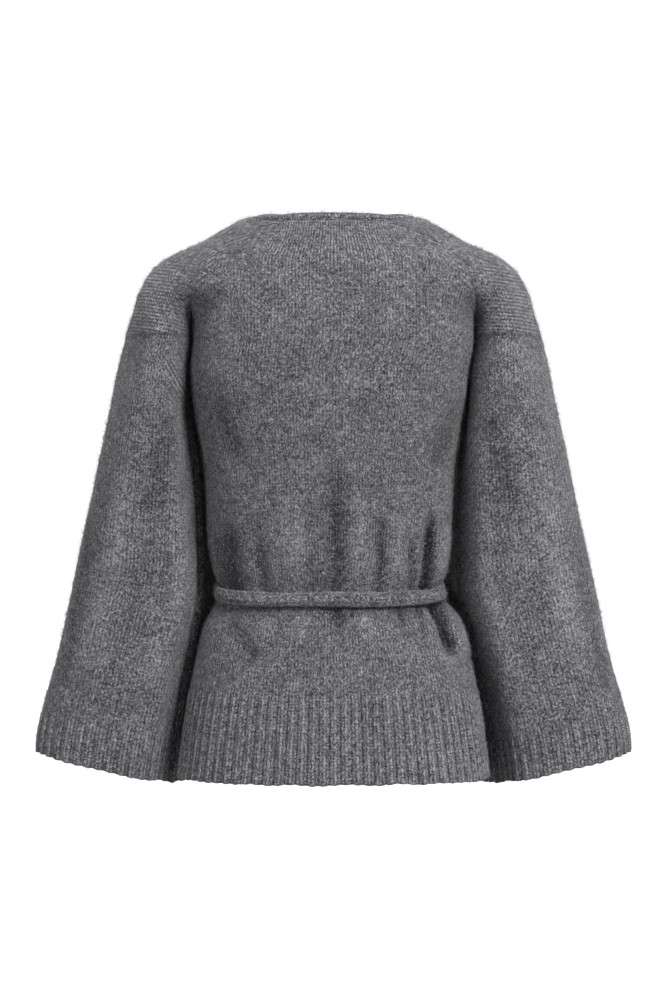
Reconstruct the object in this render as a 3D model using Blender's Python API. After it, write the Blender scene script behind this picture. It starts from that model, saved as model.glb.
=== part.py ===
"""A knitted wrap cardigan with wide raglan sleeves and a tie belt, in its worn, hollow form.

Sizes are in millimetres here and turned to metres as each mesh is made. The wearer faces -Y, the
wearer's left is +X, and +Z is up. Heights are written as a drop: how far a place lies below the
origin, which is between the shoulders, where the wearer holds the garment up.
"""

import math
from typing import NamedTuple

import bmesh
import bpy
import numpy as np

MM = 0.001
WALL = 3.0
SEAM_GAP = 0.3
HEM_DROP = 588.0
RIB_HEIGHT = 1.4
HEM_RIB_DEPTH = 95.0
HEM_RIB_PITCH = 11.5
CUFF_RIB_DEPTH = 50.0
CUFF_RIB_PITCH = 13.0
UNDERARM_DROP = 135.0
ARMHOLE_TURN_DROP = 68.0
NECK_BACK_DROP = 12.0
NECK_FRONT_DROP = 30.0
NECK_TOP_DROP = 4.5
NECK_LINE_RISE = 0.8
LAP_LIFT = 6.0
LAP_LEAD = 48.0
LAP_RAMP = 24.0
BELT_DROP = 394.0
BELT_DIP = 8.0
BELT_HALF_HEIGHT = 7.5
BELT_HALF_THICKNESS = 4.0
BELT_PINCH = 4.0
BELT_PINCH_REACH = 18.0
BELT_CALM_REACH = 11.0
BELT_STAND_OFF = 2.0
BELT_ROUNDNESS = 0.75
LAP_COVER_END = 39.0
KNOT_X = 40.0
KNOT_HALF = (13.0, 9.0, 12.0)
KNOT_INSET = 0.3
KNOT_ROUNDNESS = 0.7
KNOT_RINGS = 8
KNOT_COLUMNS = 14
END_OVERLAP = 1.0
END_HALF_WIDTH = 7.5
END_HALF_THICKNESS = 2.5
END_ROUNDING = 1.2
END_STAND_OFF = 0.8
END_BELOW_KNOT = 3.4
END_STATIONS = 15
BAND_RISE = 1.3
FOLD_RISE_SHARE = 0.35
FOLD_FALL_SHARE = 0.2
SLEEVE_SWAY = -12.0
SLEEVE_FILL_LENGTH = 150.0
INNER_POWER = 2.3
OUTER_POWER_TOP = 1.5
OUTER_POWER = 2.2
SLEEVE_CLEARANCE = 5.0
BELT_CLEARANCE = 9.0
BELT_CLEARANCE_REACH = 26.0
TUCK_CORNER = 1.75 * math.pi
TUCK_SPREAD = 0.62
TUCK_START_DROP = 138.0
TUCK_LENGTH = 40.0
NECK_TOP_INSET = 0.94
SHARE_STEP = 0.004
DROP_STEP = 0.5
CLOTH_COLOUR = (0.147, 0.146, 0.162, 1.0)
CLOTH_ROUGHNESS = 0.95


class Slice(NamedTuple):
    """The form cut level at one drop: half width, depths behind and before the middle, and squareness."""

    drop: float
    half_width: float
    back: float
    front: float
    power: float


class Reach(NamedTuple):
    """How far a line on the form lies from the middle, at one drop."""

    drop: float
    x: float


class Ring(NamedTuple):
    """One round of a sleeve: where its outer and inner sides lie, and its depths behind and before."""

    drop: float
    outer: float
    inner_left: float
    inner_right: float
    back: float
    front: float


class Fold(NamedTuple):
    """A soft crease from one place to another, as wide as it looks, raised if its height is above zero."""

    x_from: float
    drop_from: float
    x_to: float
    drop_to: float
    width: float
    height: float


class Row(NamedTuple):
    """A row of panel points: its drop, and how many columns the back and a front have there."""

    drop: float
    back_columns: int
    front_columns: int


class BandPoint(NamedTuple):
    """A corner of the neckband's section: how far it lies beyond the edge, and above the cloth."""

    out: float
    up: float


class BeltEnd(NamedTuple):
    """A free end of the belt: where it leaves the knot, where it ends, and its length."""

    name: str
    x_top: float
    x_foot: float
    length: float


SHOULDERS = (
    Slice(3, 86, 62, 48, 2),
    Slice(5, 95, 64, 50, 2),
    Slice(11.5, 108, 67.5, 55, 2),
    Slice(18, 119, 71, 60, 2),
    Slice(24, 129, 74, 64, 2),
    Slice(30.5, 141, 77, 68, 2),
    Slice(37, 156.5, 79.5, 72, 2),
    Slice(43, 169, 82, 75, 2),
    Slice(49.5, 180, 84, 78, 2.03),
    Slice(56, 187.5, 86, 81, 2.06),
    Slice(62, 193, 87.5, 84, 2.1),
    Slice(75, 200.6, 90.5, 88.5, 2.15),
    Slice(87, 206, 93, 93, 2.2),
    Slice(102, 210, 95.5, 98, 2.25),
    Slice(120, 216, 97.5, 103, 2.28),
    Slice(136, 220, 98.5, 107, 2.3),
)

TORSO = (
    Slice(60, 147, 87, 83.5, 3.0),
    Slice(135, 147, 98.5, 107, 2.9),
    Slice(185, 144, 99, 114, 2.6),
    Slice(225, 138, 97, 117, 2.4),
    Slice(268, 131.5, 93, 112, 2.25),
    Slice(315, 129, 88.5, 103, 2.25),
    Slice(345, 127.5, 86, 97, 2.25),
    Slice(372, 123, 84, 92, 2.25),
    Slice(394, 120.5, 83, 90.5, 2.25),
    Slice(410, 126, 85.5, 92.5, 2.25),
    Slice(430, 136, 90, 96, 2.25),
    Slice(470, 145, 97, 102, 2.3),
    Slice(525, 155, 105, 107, 2.35),
    Slice(600, 165, 113, 111, 2.4),
)

BACK_SEAM = (
    Reach(12, 54),
    Reach(22, 86),
    Reach(38, 116),
    Reach(55, 134),
    Reach(80, 144),
    Reach(105, 149),
    Reach(136, 151.5),
)

FRONT_SEAM = (
    Reach(30, 80),
    Reach(38, 97),
    Reach(50, 118),
    Reach(66, 134),
    Reach(85, 143),
    Reach(105, 148),
    Reach(136, 151),
)

BACK_NECK_EDGE = (
    Reach(4.5, 86),
    Reach(6, 81.5),
    Reach(8, 75),
    Reach(10, 66),
    Reach(12, 54),
)

FRONT_NECK_EDGE = (
    Reach(4.5, 86),
    Reach(8, 86.5),
    Reach(14, 85),
    Reach(22, 82),
    Reach(30, 79.5),
)

FRONT_EDGE = (
    Reach(30, 77.5),
    Reach(45, 71.5),
    Reach(60, 65.5),
    Reach(80, 58.5),
    Reach(100, 50),
    Reach(130, 36.5),
    Reach(160, 23),
    Reach(190, 9.5),
    Reach(212, 0),
    Reach(250, -17),
    Reach(300, -38),
    Reach(350, -58),
    Reach(394, -73),
    Reach(440, -79),
    Reach(500, -83),
    Reach(600, -88),
)

SLEEVE = (
    Ring(135, 219.7, 147.5, 147.5, 62, 65),
    Ring(165, 227, 153, 147.6, 63, 66),
    Ring(200, 234, 155, 145, 63, 66),
    Ring(240, 242.3, 148.5, 140, 62, 64),
    Ring(290, 252.4, 144.5, 138.5, 59, 61),
    Ring(341, 264, 140.5, 140, 56, 57),
    Ring(380, 272.4, 136.5, 141.5, 54, 56),
    Ring(404, 277.6, 137, 140.5, 53, 55),
    Ring(442, 285.7, 147, 148, 52, 54),
    Ring(480, 295.4, 156, 158.5, 51, 53),
    Ring(518, 306.2, 163, 167.5, 50, 52),
    Ring(556, 312.6, 169.5, 175, 49, 51),
    Ring(592, 313, 176, 180, 48, 50),
)

BACK_FOLDS = (
    Fold(-93, 336, -91, 388, 9, -6.5),
    Fold(-108, 322, -107, 384, 13, 5.5),
    Fold(-2, 268, -3, 392, 15, -3.2),
    Fold(44, 288, 42, 364, 18, 3.0),
    Fold(-27, 272, -26, 366, 14, 2.6),
    Fold(-46, 312, -45, 388, 9, -2.6),
    Fold(-60, 300, -58, 374, 12, 2.6),
    Fold(74, 318, 68, 384, 13, -2.4),
    Fold(108, 330, 106, 388, 17, -3.0),
    Fold(-96, 406, -120, 455, 9, -6.0),
    Fold(-112, 408, -136, 460, 12, 4.0),
    Fold(-2, 406, -4, 436, 10, -2.6),
    Fold(-66, 408, -70, 432, 9, -2.4),
    Fold(34, 410, 36, 448, 15, 2.2),
    Fold(-30, 410, -34, 448, 14, 2.0),
    Fold(112, 414, 72, 470, 15, -2.6),
    Fold(128, 180, 96, 262, 18, -2.2),
    Fold(-132, 190, -100, 270, 18, -2.0),
)

FRONT_FOLDS = (
    Fold(-96, 318, -90, 386, 12, -4.0),
    Fold(-74, 326, -70, 384, 12, -2.4),
    Fold(-20, 330, -8, 384, 13, -2.4),
    Fold(98, 322, 94, 384, 13, -3.6),
    Fold(-60, 402, -72, 470, 12, -2.6),
    Fold(-98, 404, -118, 462, 12, -3.6),
    Fold(104, 406, 124, 460, 12, -3.6),
    Fold(-90, 212, -52, 300, 22, -2.4),
    Fold(92, 214, 56, 300, 22, -2.4),
)

NECK_ROWS = (4.5, 6, 8, 10)
SHOULDER_DROPS = (12, 17, 22, 30, 38, 46, 55, 66, 78, 90, 102, 113, 123, 130, 135)
PLAIN_DROPS = (165, 200, 240)
WAIST_DROPS = (275, 300, 323, 343, 360, 374, 386, 398, 410, 424, 444, 468)
RIB_LEAD_IN = 7.0
RIB_COLUMNS = 4
HEM_RIB_DROPS = (HEM_DROP - HEM_RIB_DEPTH + RIB_LEAD_IN, HEM_DROP)
TORSO_ROWS = (
    *[Row(drop, 18, 4) for drop in SHOULDER_DROPS if drop < 60],
    *[Row(drop, 18, 11) for drop in SHOULDER_DROPS if drop > 60],
    *[Row(drop, 18, 11) for drop in PLAIN_DROPS],
    *[Row(drop, 40, 25) for drop in WAIST_DROPS],
    Row(HEM_DROP - HEM_RIB_DEPTH, 18, 11),
)
BAND_SECTION = (
    BandPoint(SEAM_GAP, -WALL - 0.3),
    BandPoint(SEAM_GAP, 0.5),
    BandPoint(3.0, BAND_RISE),
    BandPoint(8.0, 0.9),
    BandPoint(10.0, -1.4),
    BandPoint(8.0, -WALL - 0.9),
)
BELT_ENDS = (
    BeltEnd("belt_end_left", KNOT_X + 8, KNOT_X + 24, 150),
    BeltEnd("belt_end_right", KNOT_X - 8, KNOT_X - 22, 165),
)
SLEEVE_COLUMNS = 18
SLEEVE_DROPS = (150, 172, 200, 235, 275, 315, 355, 395, 435, 490)
CUFF_DROP = 595.0
CUFF_RISE = 31.0


def smooth(share):
    """A soft step from 0 to 1 as the share goes from 0 to 1."""
    share = np.clip(share, 0.0, 1.0)
    return share * share * (3 - 2 * share)


def read(table, column, drop):
    """The named column of a table at any drop, on a smooth curve that doesn't overshoot its rows."""
    knots = np.array([row.drop for row in table], float)
    values = np.array([getattr(row, column) for row in table], float)
    step = np.diff(knots)
    slope = np.diff(values) / step
    lean = np.zeros(len(values))
    rising = slope[:-1] * slope[1:] > 0
    middle = np.zeros(len(slope) - 1)
    middle[rising] = 2 * slope[:-1][rising] * slope[1:][rising] / (slope[:-1] + slope[1:])[rising]
    lean[1:-1] = middle
    lean[0] = slope[0]
    lean[-1] = slope[-1]
    at = np.clip(drop, knots[0], knots[-1])
    i = np.clip(np.searchsorted(knots, at) - 1, 0, len(step) - 1)
    t = (at - knots[i]) / step[i]
    start = (1 + 2 * t) * (1 - t) ** 2 * values[i] + t * (1 - t) ** 2 * step[i] * lean[i]
    end = t * t * (3 - 2 * t) * values[i + 1] - t * t * (1 - t) * step[i] * lean[i + 1]
    return start + end


def by_length(x, y, share, reach=None):
    """Points at shares of a polyline's length, or of its length as far as x = reach."""
    length = np.concatenate([[0.0], np.cumsum(np.hypot(np.diff(x), np.diff(y)))])
    whole = length[-1] if reach is None else np.interp(reach, x, length)
    return np.interp(share * whole, length, x), np.interp(share * whole, length, y)


def by_halves(x, y, share):
    """Points at shares of a sleeve's round, with its outermost point always at one half."""
    tip = int(np.argmax(x))
    behind = by_length(x[: tip + 1], y[: tip + 1], np.minimum(2 * share, 1))
    before = by_length(x[tip:], y[tip:], np.maximum(2 * share - 1, 0))
    return np.where(share <= 0.5, behind, before)


def quarter(half_width, depth, power):
    """A quarter of a level slice, from the middle of the back or front to the side."""
    angle = np.linspace(0.0, math.pi / 2, 240)
    return half_width * np.sin(angle) ** (2 / power), depth * np.cos(angle) ** (2 / power)


def armhole_turn(drop):
    """0 where the panel ends on the shoulders' form, 1 where it reaches the side under the arm."""
    t = np.clip((drop - ARMHOLE_TURN_DROP) / (UNDERARM_DROP - ARMHOLE_TURN_DROP), 0, 1)
    return t * t * t * (t * (6 * t - 15) + 10)


def torso(is_back, drop, share):
    """Base points of the torso at one drop. share is -1 at the wearer's right, 1 at the left."""
    depth = "back" if is_back else "front"
    seam = BACK_SEAM if is_back else FRONT_SEAM
    out = np.abs(share)
    turn = armhole_turn(drop)
    lower = quarter(*[read(TORSO, column, drop) for column in ("half_width", depth, "power")])
    x, y = by_length(*lower, out)
    if turn < 1:
        upper = quarter(*[read(SHOULDERS, column, drop) for column in ("half_width", depth, "power")])
        x_up, y_up = by_length(*upper, out, read(seam, "x", drop))
        x = (1 - turn) * x_up + turn * x
        y = (1 - turn) * y_up + turn * y
    facing = 1 if is_back else -1
    return np.column_stack([np.sign(share) * x, facing * y, np.full(len(out), -float(drop))])


def torso_normals(is_back, drop, share):
    """Unit normals of the torso's base form, pointing out."""
    ahead = torso(is_back, drop, np.minimum(share + SHARE_STEP, 1))
    behind = torso(is_back, drop, np.maximum(share - SHARE_STEP, -1))
    down = torso(is_back, drop + DROP_STEP, share) - torso(is_back, drop - DROP_STEP, share)
    normal = np.cross(ahead - behind, down)
    normal /= np.linalg.norm(normal, axis=1)[:, None]
    return normal if is_back else -normal


def belt_drop(y):
    """The drop of the belt's middle line: it sits a little lower behind than in front."""
    return BELT_DROP + BELT_DIP * y / read(TORSO, "back", BELT_DROP)


def fold_height(folds, x, drop):
    """How far the folds lift the cloth at each x of one drop."""
    lift = np.zeros(len(x))
    for fold in folds:
        along = np.array([fold.x_to - fold.x_from, fold.drop_to - fold.drop_from])
        length = np.hypot(*along)
        along = along / length
        run = (x - fold.x_from) * along[0] + (drop - fold.drop_from) * along[1]
        off = (x - fold.x_from) * along[1] - (drop - fold.drop_from) * along[0]
        rise = smooth(run / length / FOLD_RISE_SHARE)
        taper = rise * smooth((length - run) / length / FOLD_FALL_SHARE)
        lift += fold.height * taper * np.exp(-((2 * off / fold.width) ** 2))
    return lift


def front_edge_x(is_left, drop):
    """Where a front ends: its edge crosses the middle below the wrap's crossing."""
    return read(FRONT_EDGE, "x", drop) * (1 if is_left else -1)


def lap_lift(x, drop):
    """How far the right front is lifted to lie over the left one."""
    return LAP_LIFT * smooth((x - front_edge_x(True, drop) + LAP_LEAD) / LAP_RAMP)


def torso_lift(is_back, is_right_front, points):
    """How far the worn cloth stands off the base form: its folds, the belt's pinch and the wrap."""
    x, y = points[:, 0], points[:, 1]
    drop = -points[0, 2]
    from_belt = drop - belt_drop(y)
    lift = fold_height(BACK_FOLDS if is_back else FRONT_FOLDS, x, drop)
    lift *= 1 - np.exp(-((from_belt / BELT_CALM_REACH) ** 2))
    lift -= BELT_PINCH * np.exp(-((from_belt / BELT_PINCH_REACH) ** 2))
    if is_right_front:
        lift += lap_lift(x, drop)
    return lift


def shoulder_arc(drop, share):
    """Base points of a sleeve's top, from its back seam round the outer side to its front seam."""
    half_width = read(SHOULDERS, "half_width", drop)
    power = read(SHOULDERS, "power", drop)
    back_line = BACK_NECK_EDGE if drop < NECK_BACK_DROP else BACK_SEAM
    front_line = FRONT_NECK_EDGE if drop < NECK_FRONT_DROP else FRONT_SEAM
    start = math.asin((read(back_line, "x", drop) / half_width) ** (power / 2))
    end = math.pi - math.asin((read(front_line, "x", drop) / half_width) ** (power / 2))
    to_tip = np.linspace(start, math.pi / 2, 160)
    from_tip = np.linspace(math.pi / 2, end, 160)
    angle = np.concatenate([to_tip, from_tip[1:]])
    behind = angle < math.pi / 2
    depth = np.where(behind, read(SHOULDERS, "back", drop), read(SHOULDERS, "front", drop))
    y = depth * np.sign(np.cos(angle)) * np.abs(np.cos(angle)) ** (2 / power)
    return by_halves(half_width * np.sin(angle) ** (2 / power), y, share)


def torso_half_width(drop, y):
    """How wide the torso is at a depth behind or before its middle."""
    power = read(TORSO, "power", drop)
    depth = np.where(y > 0, read(TORSO, "back", drop), read(TORSO, "front", drop))
    inside = np.clip(1 - (np.abs(y) / depth) ** power, 0, 1)
    return read(TORSO, "half_width", drop) * inside ** (1 / power)


def arm_ring(is_left, drop, share):
    """Base points of one round of a sleeve below the arm, from its inner side round the back."""
    inner = read(SLEEVE, "inner_left" if is_left else "inner_right", drop)
    along = (drop - UNDERARM_DROP) / (CUFF_DROP - UNDERARM_DROP)
    rise = CUFF_RISE * along
    outer = read(SLEEVE, "outer", drop - rise)
    angle = np.linspace(0.0, 2 * math.pi, 481)
    fullness = smooth((drop - UNDERARM_DROP) / SLEEVE_FILL_LENGTH)
    outer_power = OUTER_POWER_TOP + (OUTER_POWER - OUTER_POWER_TOP) * fullness
    bend = 2 / np.where(np.cos(angle) > 0, INNER_POWER, outer_power)
    level = np.sign(np.cos(angle)) * np.abs(np.cos(angle)) ** bend
    x = (inner + outer) / 2 - (outer - inner) / 2 * level
    depth = np.where(np.sin(angle) > 0, read(SLEEVE, "back", drop), read(SLEEVE, "front", drop))
    y = depth * np.sign(np.sin(angle)) * np.abs(np.sin(angle)) ** bend
    y += SLEEVE_SWAY * smooth(along)
    beside = torso_half_width(drop, y) + SLEEVE_CLEARANCE
    beside += BELT_CLEARANCE * math.exp(-(((drop - BELT_DROP) / BELT_CLEARANCE_REACH) ** 2))
    i = np.argmin(np.abs(angle - TUCK_CORNER))
    tuck = max(0.0, x[i] - beside[i]) * smooth((drop - TUCK_START_DROP) / TUCK_LENGTH)
    away = np.minimum(np.abs(angle - TUCK_CORNER), np.abs(angle + 2 * math.pi - TUCK_CORNER))
    x = np.maximum(x - tuck * np.exp(-((away / TUCK_SPREAD) ** 2)), np.minimum(x, beside))
    x, y = by_halves(x, y, share)
    height = -drop + rise * (x - inner) / (outer - inner)
    return x, y, height


def sleeve(is_left, drop, share):
    """Base points of a sleeve at one row: open over the shoulder, closed below the arm."""
    turn = armhole_turn(drop)
    if turn < 1:
        x, y = shoulder_arc(drop, share)
        height = np.full(len(share), -float(drop))
        if turn > 0:
            ring_x, ring_y, _ = arm_ring(is_left, UNDERARM_DROP, share)
            inner = read(SLEEVE, "inner_left" if is_left else "inner_right", UNDERARM_DROP)
            widen = (read(SHOULDERS, "half_width", drop) - inner) / (SLEEVE[0].outer - inner)
            x = (1 - turn) * x + turn * (inner + (ring_x - inner) * widen)
            y = (1 - turn) * y + turn * ring_y
    else:
        x, y, height = arm_ring(is_left, drop, share)
    return np.column_stack([x if is_left else -x, y, height])


def sleeve_normals(is_left, drop, share):
    """Unit normals of a sleeve's base form, pointing out."""
    ahead = share + SHARE_STEP
    behind = share - SHARE_STEP
    if drop >= UNDERARM_DROP:
        across = sleeve(is_left, drop, ahead % 1.0) - sleeve(is_left, drop, behind % 1.0)
    else:
        after = sleeve(is_left, drop, np.minimum(ahead, 1))
        across = after - sleeve(is_left, drop, np.maximum(behind, 0))
    above = sleeve(is_left, max(drop - DROP_STEP, NECK_TOP_DROP), share)
    normal = np.cross(across, sleeve(is_left, drop + DROP_STEP, share) - above)
    normal /= np.linalg.norm(normal, axis=1)[:, None]
    return normal if is_left else -normal


def ribs(columns):
    """1 on the raised columns of each rib and 0 between them."""
    place = np.arange(columns + 1) % RIB_COLUMNS
    return ((place == 1) | (place == 2)).astype(float)


class Wall:
    """Collects the points and faces of one closed wall."""

    def __init__(self):
        self.points = []
        self.faces = []

    def add(self, points):
        """Adds a row of points and returns their numbers."""
        first = len(self.points)
        self.points.extend(points)
        return list(range(first, first + len(points)))

    def zip_rows(self, upper, lower):
        """Fills between two rows, which may have different numbers of points."""
        i = 0
        j = 0
        last_i = len(upper) - 1
        last_j = len(lower) - 1
        while i < last_i or j < last_j:
            if j == last_j or (i < last_i and (i + 0.5) * last_j <= (j + 0.5) * last_i):
                self.faces.append((upper[i], lower[j], upper[i + 1]))
                i += 1
            else:
                self.faces.append((upper[i], lower[j], lower[j + 1]))
                j += 1

    def skin(self, outer, inner):
        """Closes a wall between outer and inner rows, each listed from the top down."""
        for rows in (outer, inner):
            for upper, lower in zip(rows, rows[1:]):
                self.zip_rows(upper, lower)
        self.zip_rows(inner[0], outer[0])
        self.zip_rows(outer[-1], inner[-1])

    def sides(self, outer, inner):
        """Closes the wall along the first and the last points of its open rows."""
        for end in (0, -1):
            self.zip_rows([row[end] for row in outer], [row[end] for row in inner])


def knit_material():
    """Brushed grey wool, the same for every piece."""
    material = bpy.data.materials.new("brushed_wool_knit")
    material.use_nodes = True
    shader = material.node_tree.nodes["Principled BSDF"]
    shader.inputs["Base Color"].default_value = CLOTH_COLOUR
    shader.inputs["Roughness"].default_value = CLOTH_ROUGHNESS
    shader.inputs["Metallic"].default_value = 0.0
    material.diffuse_color = CLOTH_COLOUR
    return material


def add_piece(name, wall, origin, parent):
    """Makes the named object from a wall, with its own origin."""
    points = (np.array(wall.points) - np.array(origin)) * MM
    mesh = bpy.data.meshes.new(name)
    mesh.from_pydata(points.tolist(), [], wall.faces)
    shape = bmesh.new()
    shape.from_mesh(mesh)
    bmesh.ops.recalc_face_normals(shape, faces=shape.faces)
    shape.to_mesh(mesh)
    shape.free()
    mesh.shade_smooth()
    mesh.set_sharp_from_angle(angle=math.radians(50))
    mesh.materials.append(knit_material())
    piece = bpy.data.objects.new(name, mesh)
    bpy.context.collection.objects.link(piece)
    piece.parent = parent
    piece.location = [value * MM for value in origin]


def tangents(points):
    """Unit directions along a line of points."""
    ahead = np.gradient(points, axis=0)
    return ahead / np.linalg.norm(ahead, axis=1)[:, None]


def open_seam(rows, end, beside, first_row=0):
    """Draws one end of each row in by half of a seam's gap, measured square to the seam."""
    along = tangents(np.array([row[end] for row in rows]))
    for row, direction in list(zip(rows, along))[first_row:]:
        inward = row[beside] - row[end]
        squarely = np.linalg.norm(np.cross(direction, inward))
        row[end] += inward * SEAM_GAP / 2 / max(squarely, 0.25 * np.linalg.norm(inward))


def panel_rows(is_back, is_left_front, drop, columns, raised):
    """The outer and inner points of one row of the back or of a front."""
    is_right_front = not is_back and not is_left_front
    if is_back:
        share = np.linspace(-1, 1, columns + 1)
    else:
        every = np.linspace(-1, 1, 401)
        across = torso(False, drop, every)[:, 0]
        edge = np.interp(front_edge_x(is_left_front, drop), across, every)
        first, last = (edge, 1) if is_left_front else (-1, edge)
        share = np.linspace(first, last, columns + 1)
    base = torso(is_back, drop, share)
    normal = torso_normals(is_back, drop, share)
    lift = torso_lift(is_back, is_right_front, base)
    outer = base + normal * (lift + raised)[:, None]
    inner = base + normal * (lift - WALL)[:, None]
    return outer, inner, normal


def make_panel(name, is_back, is_left_front, parent, pieces):
    """Makes the back or a front, with the ribs of its hem raised on its outer side."""
    wall = Wall()
    outer, inner, edges = [], [], []
    top = NECK_BACK_DROP if is_back else NECK_FRONT_DROP
    for row in TORSO_ROWS:
        if row.drop < top:
            continue
        columns = row.back_columns if is_back else row.front_columns
        out, back, normal = panel_rows(is_back, is_left_front, row.drop, columns, 0.0)
        outer.append(out)
        inner.append(back)
        edges.append(normal)
    hem = np.linalg.norm(np.diff(outer[-1], axis=0), axis=1).sum()
    columns = RIB_COLUMNS * round(hem / HEM_RIB_PITCH)
    raised = RIB_HEIGHT * ribs(columns)
    for drop in HEM_RIB_DROPS:
        out, _, _ = panel_rows(is_back, is_left_front, drop, columns, raised)
        _, back, normal = panel_rows(is_back, is_left_front, drop, len(inner[-1]) - 1, 0.0)
        outer.append(out)
        inner.append(back)
        edges.append(normal)
    for rows in (outer, inner):
        if is_back or not is_left_front:
            open_seam(rows, 0, 1)
        if is_back or is_left_front:
            open_seam(rows, -1, -2)
    outer_ids = [wall.add(row) for row in outer]
    inner_ids = [wall.add(row) for row in inner]
    wall.skin(outer_ids, inner_ids)
    wall.sides(outer_ids, inner_ids)
    pieces[name] = (outer, edges)
    add_piece(name, wall, (0, outer[0][0][1], -UNDERARM_DROP), parent)


def sleeve_top_row(first_row, share):
    """The sleeve's narrow upper end, from the front of the neck opening to its back."""
    row = first_row.copy()
    row[:, 0] = np.interp(share, [0, 1], [first_row[0][0], first_row[-1][0]])
    row[:, 1] = np.interp(share, [0, 1], [first_row[0][1], first_row[-1][1]]) * NECK_TOP_INSET
    row[:, 2] = -NECK_TOP_DROP + NECK_LINE_RISE * np.sin(math.pi * share)
    return row


def make_sleeve(name, is_left, parent, pieces):
    """Makes a sleeve: open rows over the shoulder, then closed rounds down to the ribbed cuff."""
    wall = Wall()
    share = np.linspace(0, 1, SLEEVE_COLUMNS + 1)
    open_rows = [drop for drop in NECK_ROWS + SHOULDER_DROPS if drop < UNDERARM_DROP]
    outer, inner, normals = [], [], []
    for drop in open_rows:
        base = sleeve(is_left, drop, share)
        normal = sleeve_normals(is_left, drop, share)
        outer.append(base)
        inner.append(base - normal * WALL)
        normals.append(normal)
    up = np.tile([0.0, 0.0, 1.0], (len(share), 1))
    outer.insert(0, sleeve_top_row(outer[0], share))
    inner.insert(0, outer[0] - up * WALL)
    normals.insert(0, up)
    for rows in (outer, inner):
        open_seam(rows, 0, 1, 1 + open_rows.index(NECK_BACK_DROP))
        open_seam(rows, -1, -2, 1 + open_rows.index(NECK_FRONT_DROP))
    rings_outer, rings_inner = [], []
    for drop in (UNDERARM_DROP, *SLEEVE_DROPS, CUFF_DROP - CUFF_RIB_DEPTH):
        base = sleeve(is_left, drop, share[:-1])
        rings_outer.append(base)
        rings_inner.append(base - sleeve_normals(is_left, drop, share[:-1]) * WALL)
    cuff = np.linalg.norm(np.diff(rings_outer[-1], axis=0), axis=1).sum()
    columns = RIB_COLUMNS * round(cuff / CUFF_RIB_PITCH)
    rib_share = np.linspace(0, 1, columns + 1)[:-1]
    raised = RIB_HEIGHT * ribs(columns)[:-1, None]
    for drop in (CUFF_DROP - CUFF_RIB_DEPTH + RIB_LEAD_IN, CUFF_DROP):
        ribbed = sleeve(is_left, drop, rib_share)
        rings_outer.append(ribbed + sleeve_normals(is_left, drop, rib_share) * raised)
        plain = sleeve(is_left, drop, share[:-1])
        rings_inner.append(plain - sleeve_normals(is_left, drop, share[:-1]) * WALL)
    outer_ids = [wall.add(row) for row in outer]
    inner_ids = [wall.add(row) for row in inner]
    opened = len(outer_ids) + 1
    for rings, ids in ((rings_outer, outer_ids), (rings_inner, inner_ids)):
        for ring in rings:
            around = wall.add(ring)
            ids.append(around + around[:1])
    wall.skin(outer_ids, inner_ids)
    wall.sides(outer_ids[:opened], inner_ids[:opened])
    pieces[name] = (outer, normals)
    add_piece(name, wall, rings_outer[0][0], parent)


def edge_line(pieces):
    """The points and normals along the neck and front edges, from the left hem to the right hem."""
    left, left_normals = pieces["front_left"]
    right, right_normals = pieces["front_right"]
    back, back_normals = pieces["back"]
    line = [(row[0], normal[0]) for row, normal in zip(left[::-1], left_normals[::-1])]
    over_left = sleeve_neck_edge(*pieces["sleeve_left"])
    over_right = sleeve_neck_edge(*pieces["sleeve_right"])
    line += over_left[1:-1]
    line += list(zip(back[0][::-1], back_normals[0][::-1]))
    line += over_right[::-1][1:-1]
    line += [(row[-1], normal[-1]) for row, normal in zip(right, right_normals)]
    points = np.array([point for point, _ in line])
    normals = np.array([normal for _, normal in line])
    return points, normals


def sleeve_neck_edge(rows, normals):
    """The neck edge of a sleeve, from the front seam over the shoulder to the back seam."""
    front = [drop for drop in NECK_ROWS + SHOULDER_DROPS if drop <= NECK_FRONT_DROP]
    back = [drop for drop in NECK_ROWS + SHOULDER_DROPS if drop <= NECK_BACK_DROP]
    line = [(rows[i][-1], normals[i][-1]) for i in range(len(front), 0, -1)]
    line += [(point, normal) for point, normal in zip(rows[0][-4:2:-3], normals[0][-4:2:-3])]
    line += [(rows[i][0], normals[i][0]) for i in range(1, len(back) + 1)]
    return line


def sweep(wall, points, normals, sideways, section):
    """Sweeps a closed section along a line. The section's columns lie along sideways and the normal."""
    rings = []
    for point, normal, side in zip(points, normals, sideways):
        rings.append(wall.add([point + side * w + normal * n for w, n in section]))
    for ring, following in zip(rings, rings[1:]):
        for k in range(len(section)):
            after = (k + 1) % len(section)
            wall.faces.append((ring[k], ring[after], following[after], following[k]))
    wall.faces.append(tuple(rings[0][::-1]))
    wall.faces.append(tuple(rings[-1]))


def make_neckband(parent, pieces):
    """A narrow rolled band, knitted on along the neck and both front edges."""
    points, normals = edge_line(pieces)
    along = tangents(points)
    outwards = np.cross(normals, along)
    outwards /= np.linalg.norm(outwards, axis=1)[:, None]
    normals = np.cross(along, outwards)
    wall = Wall()
    sweep(wall, points, normals, outwards, BAND_SECTION)
    add_piece("neckband", wall, points[len(points) // 2], parent)


def lap_cover(x):
    """How far the belt is held off by the lapped front and its band."""
    highest = LAP_LIFT + BAND_RISE
    waist_edge = -read(FRONT_EDGE, "x", BELT_DROP)
    rise = smooth((x + waist_edge + LAP_LEAD) / LAP_RAMP)
    fall = smooth((waist_edge + LAP_COVER_END - x) / LAP_RAMP)
    return highest * rise * fall


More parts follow.
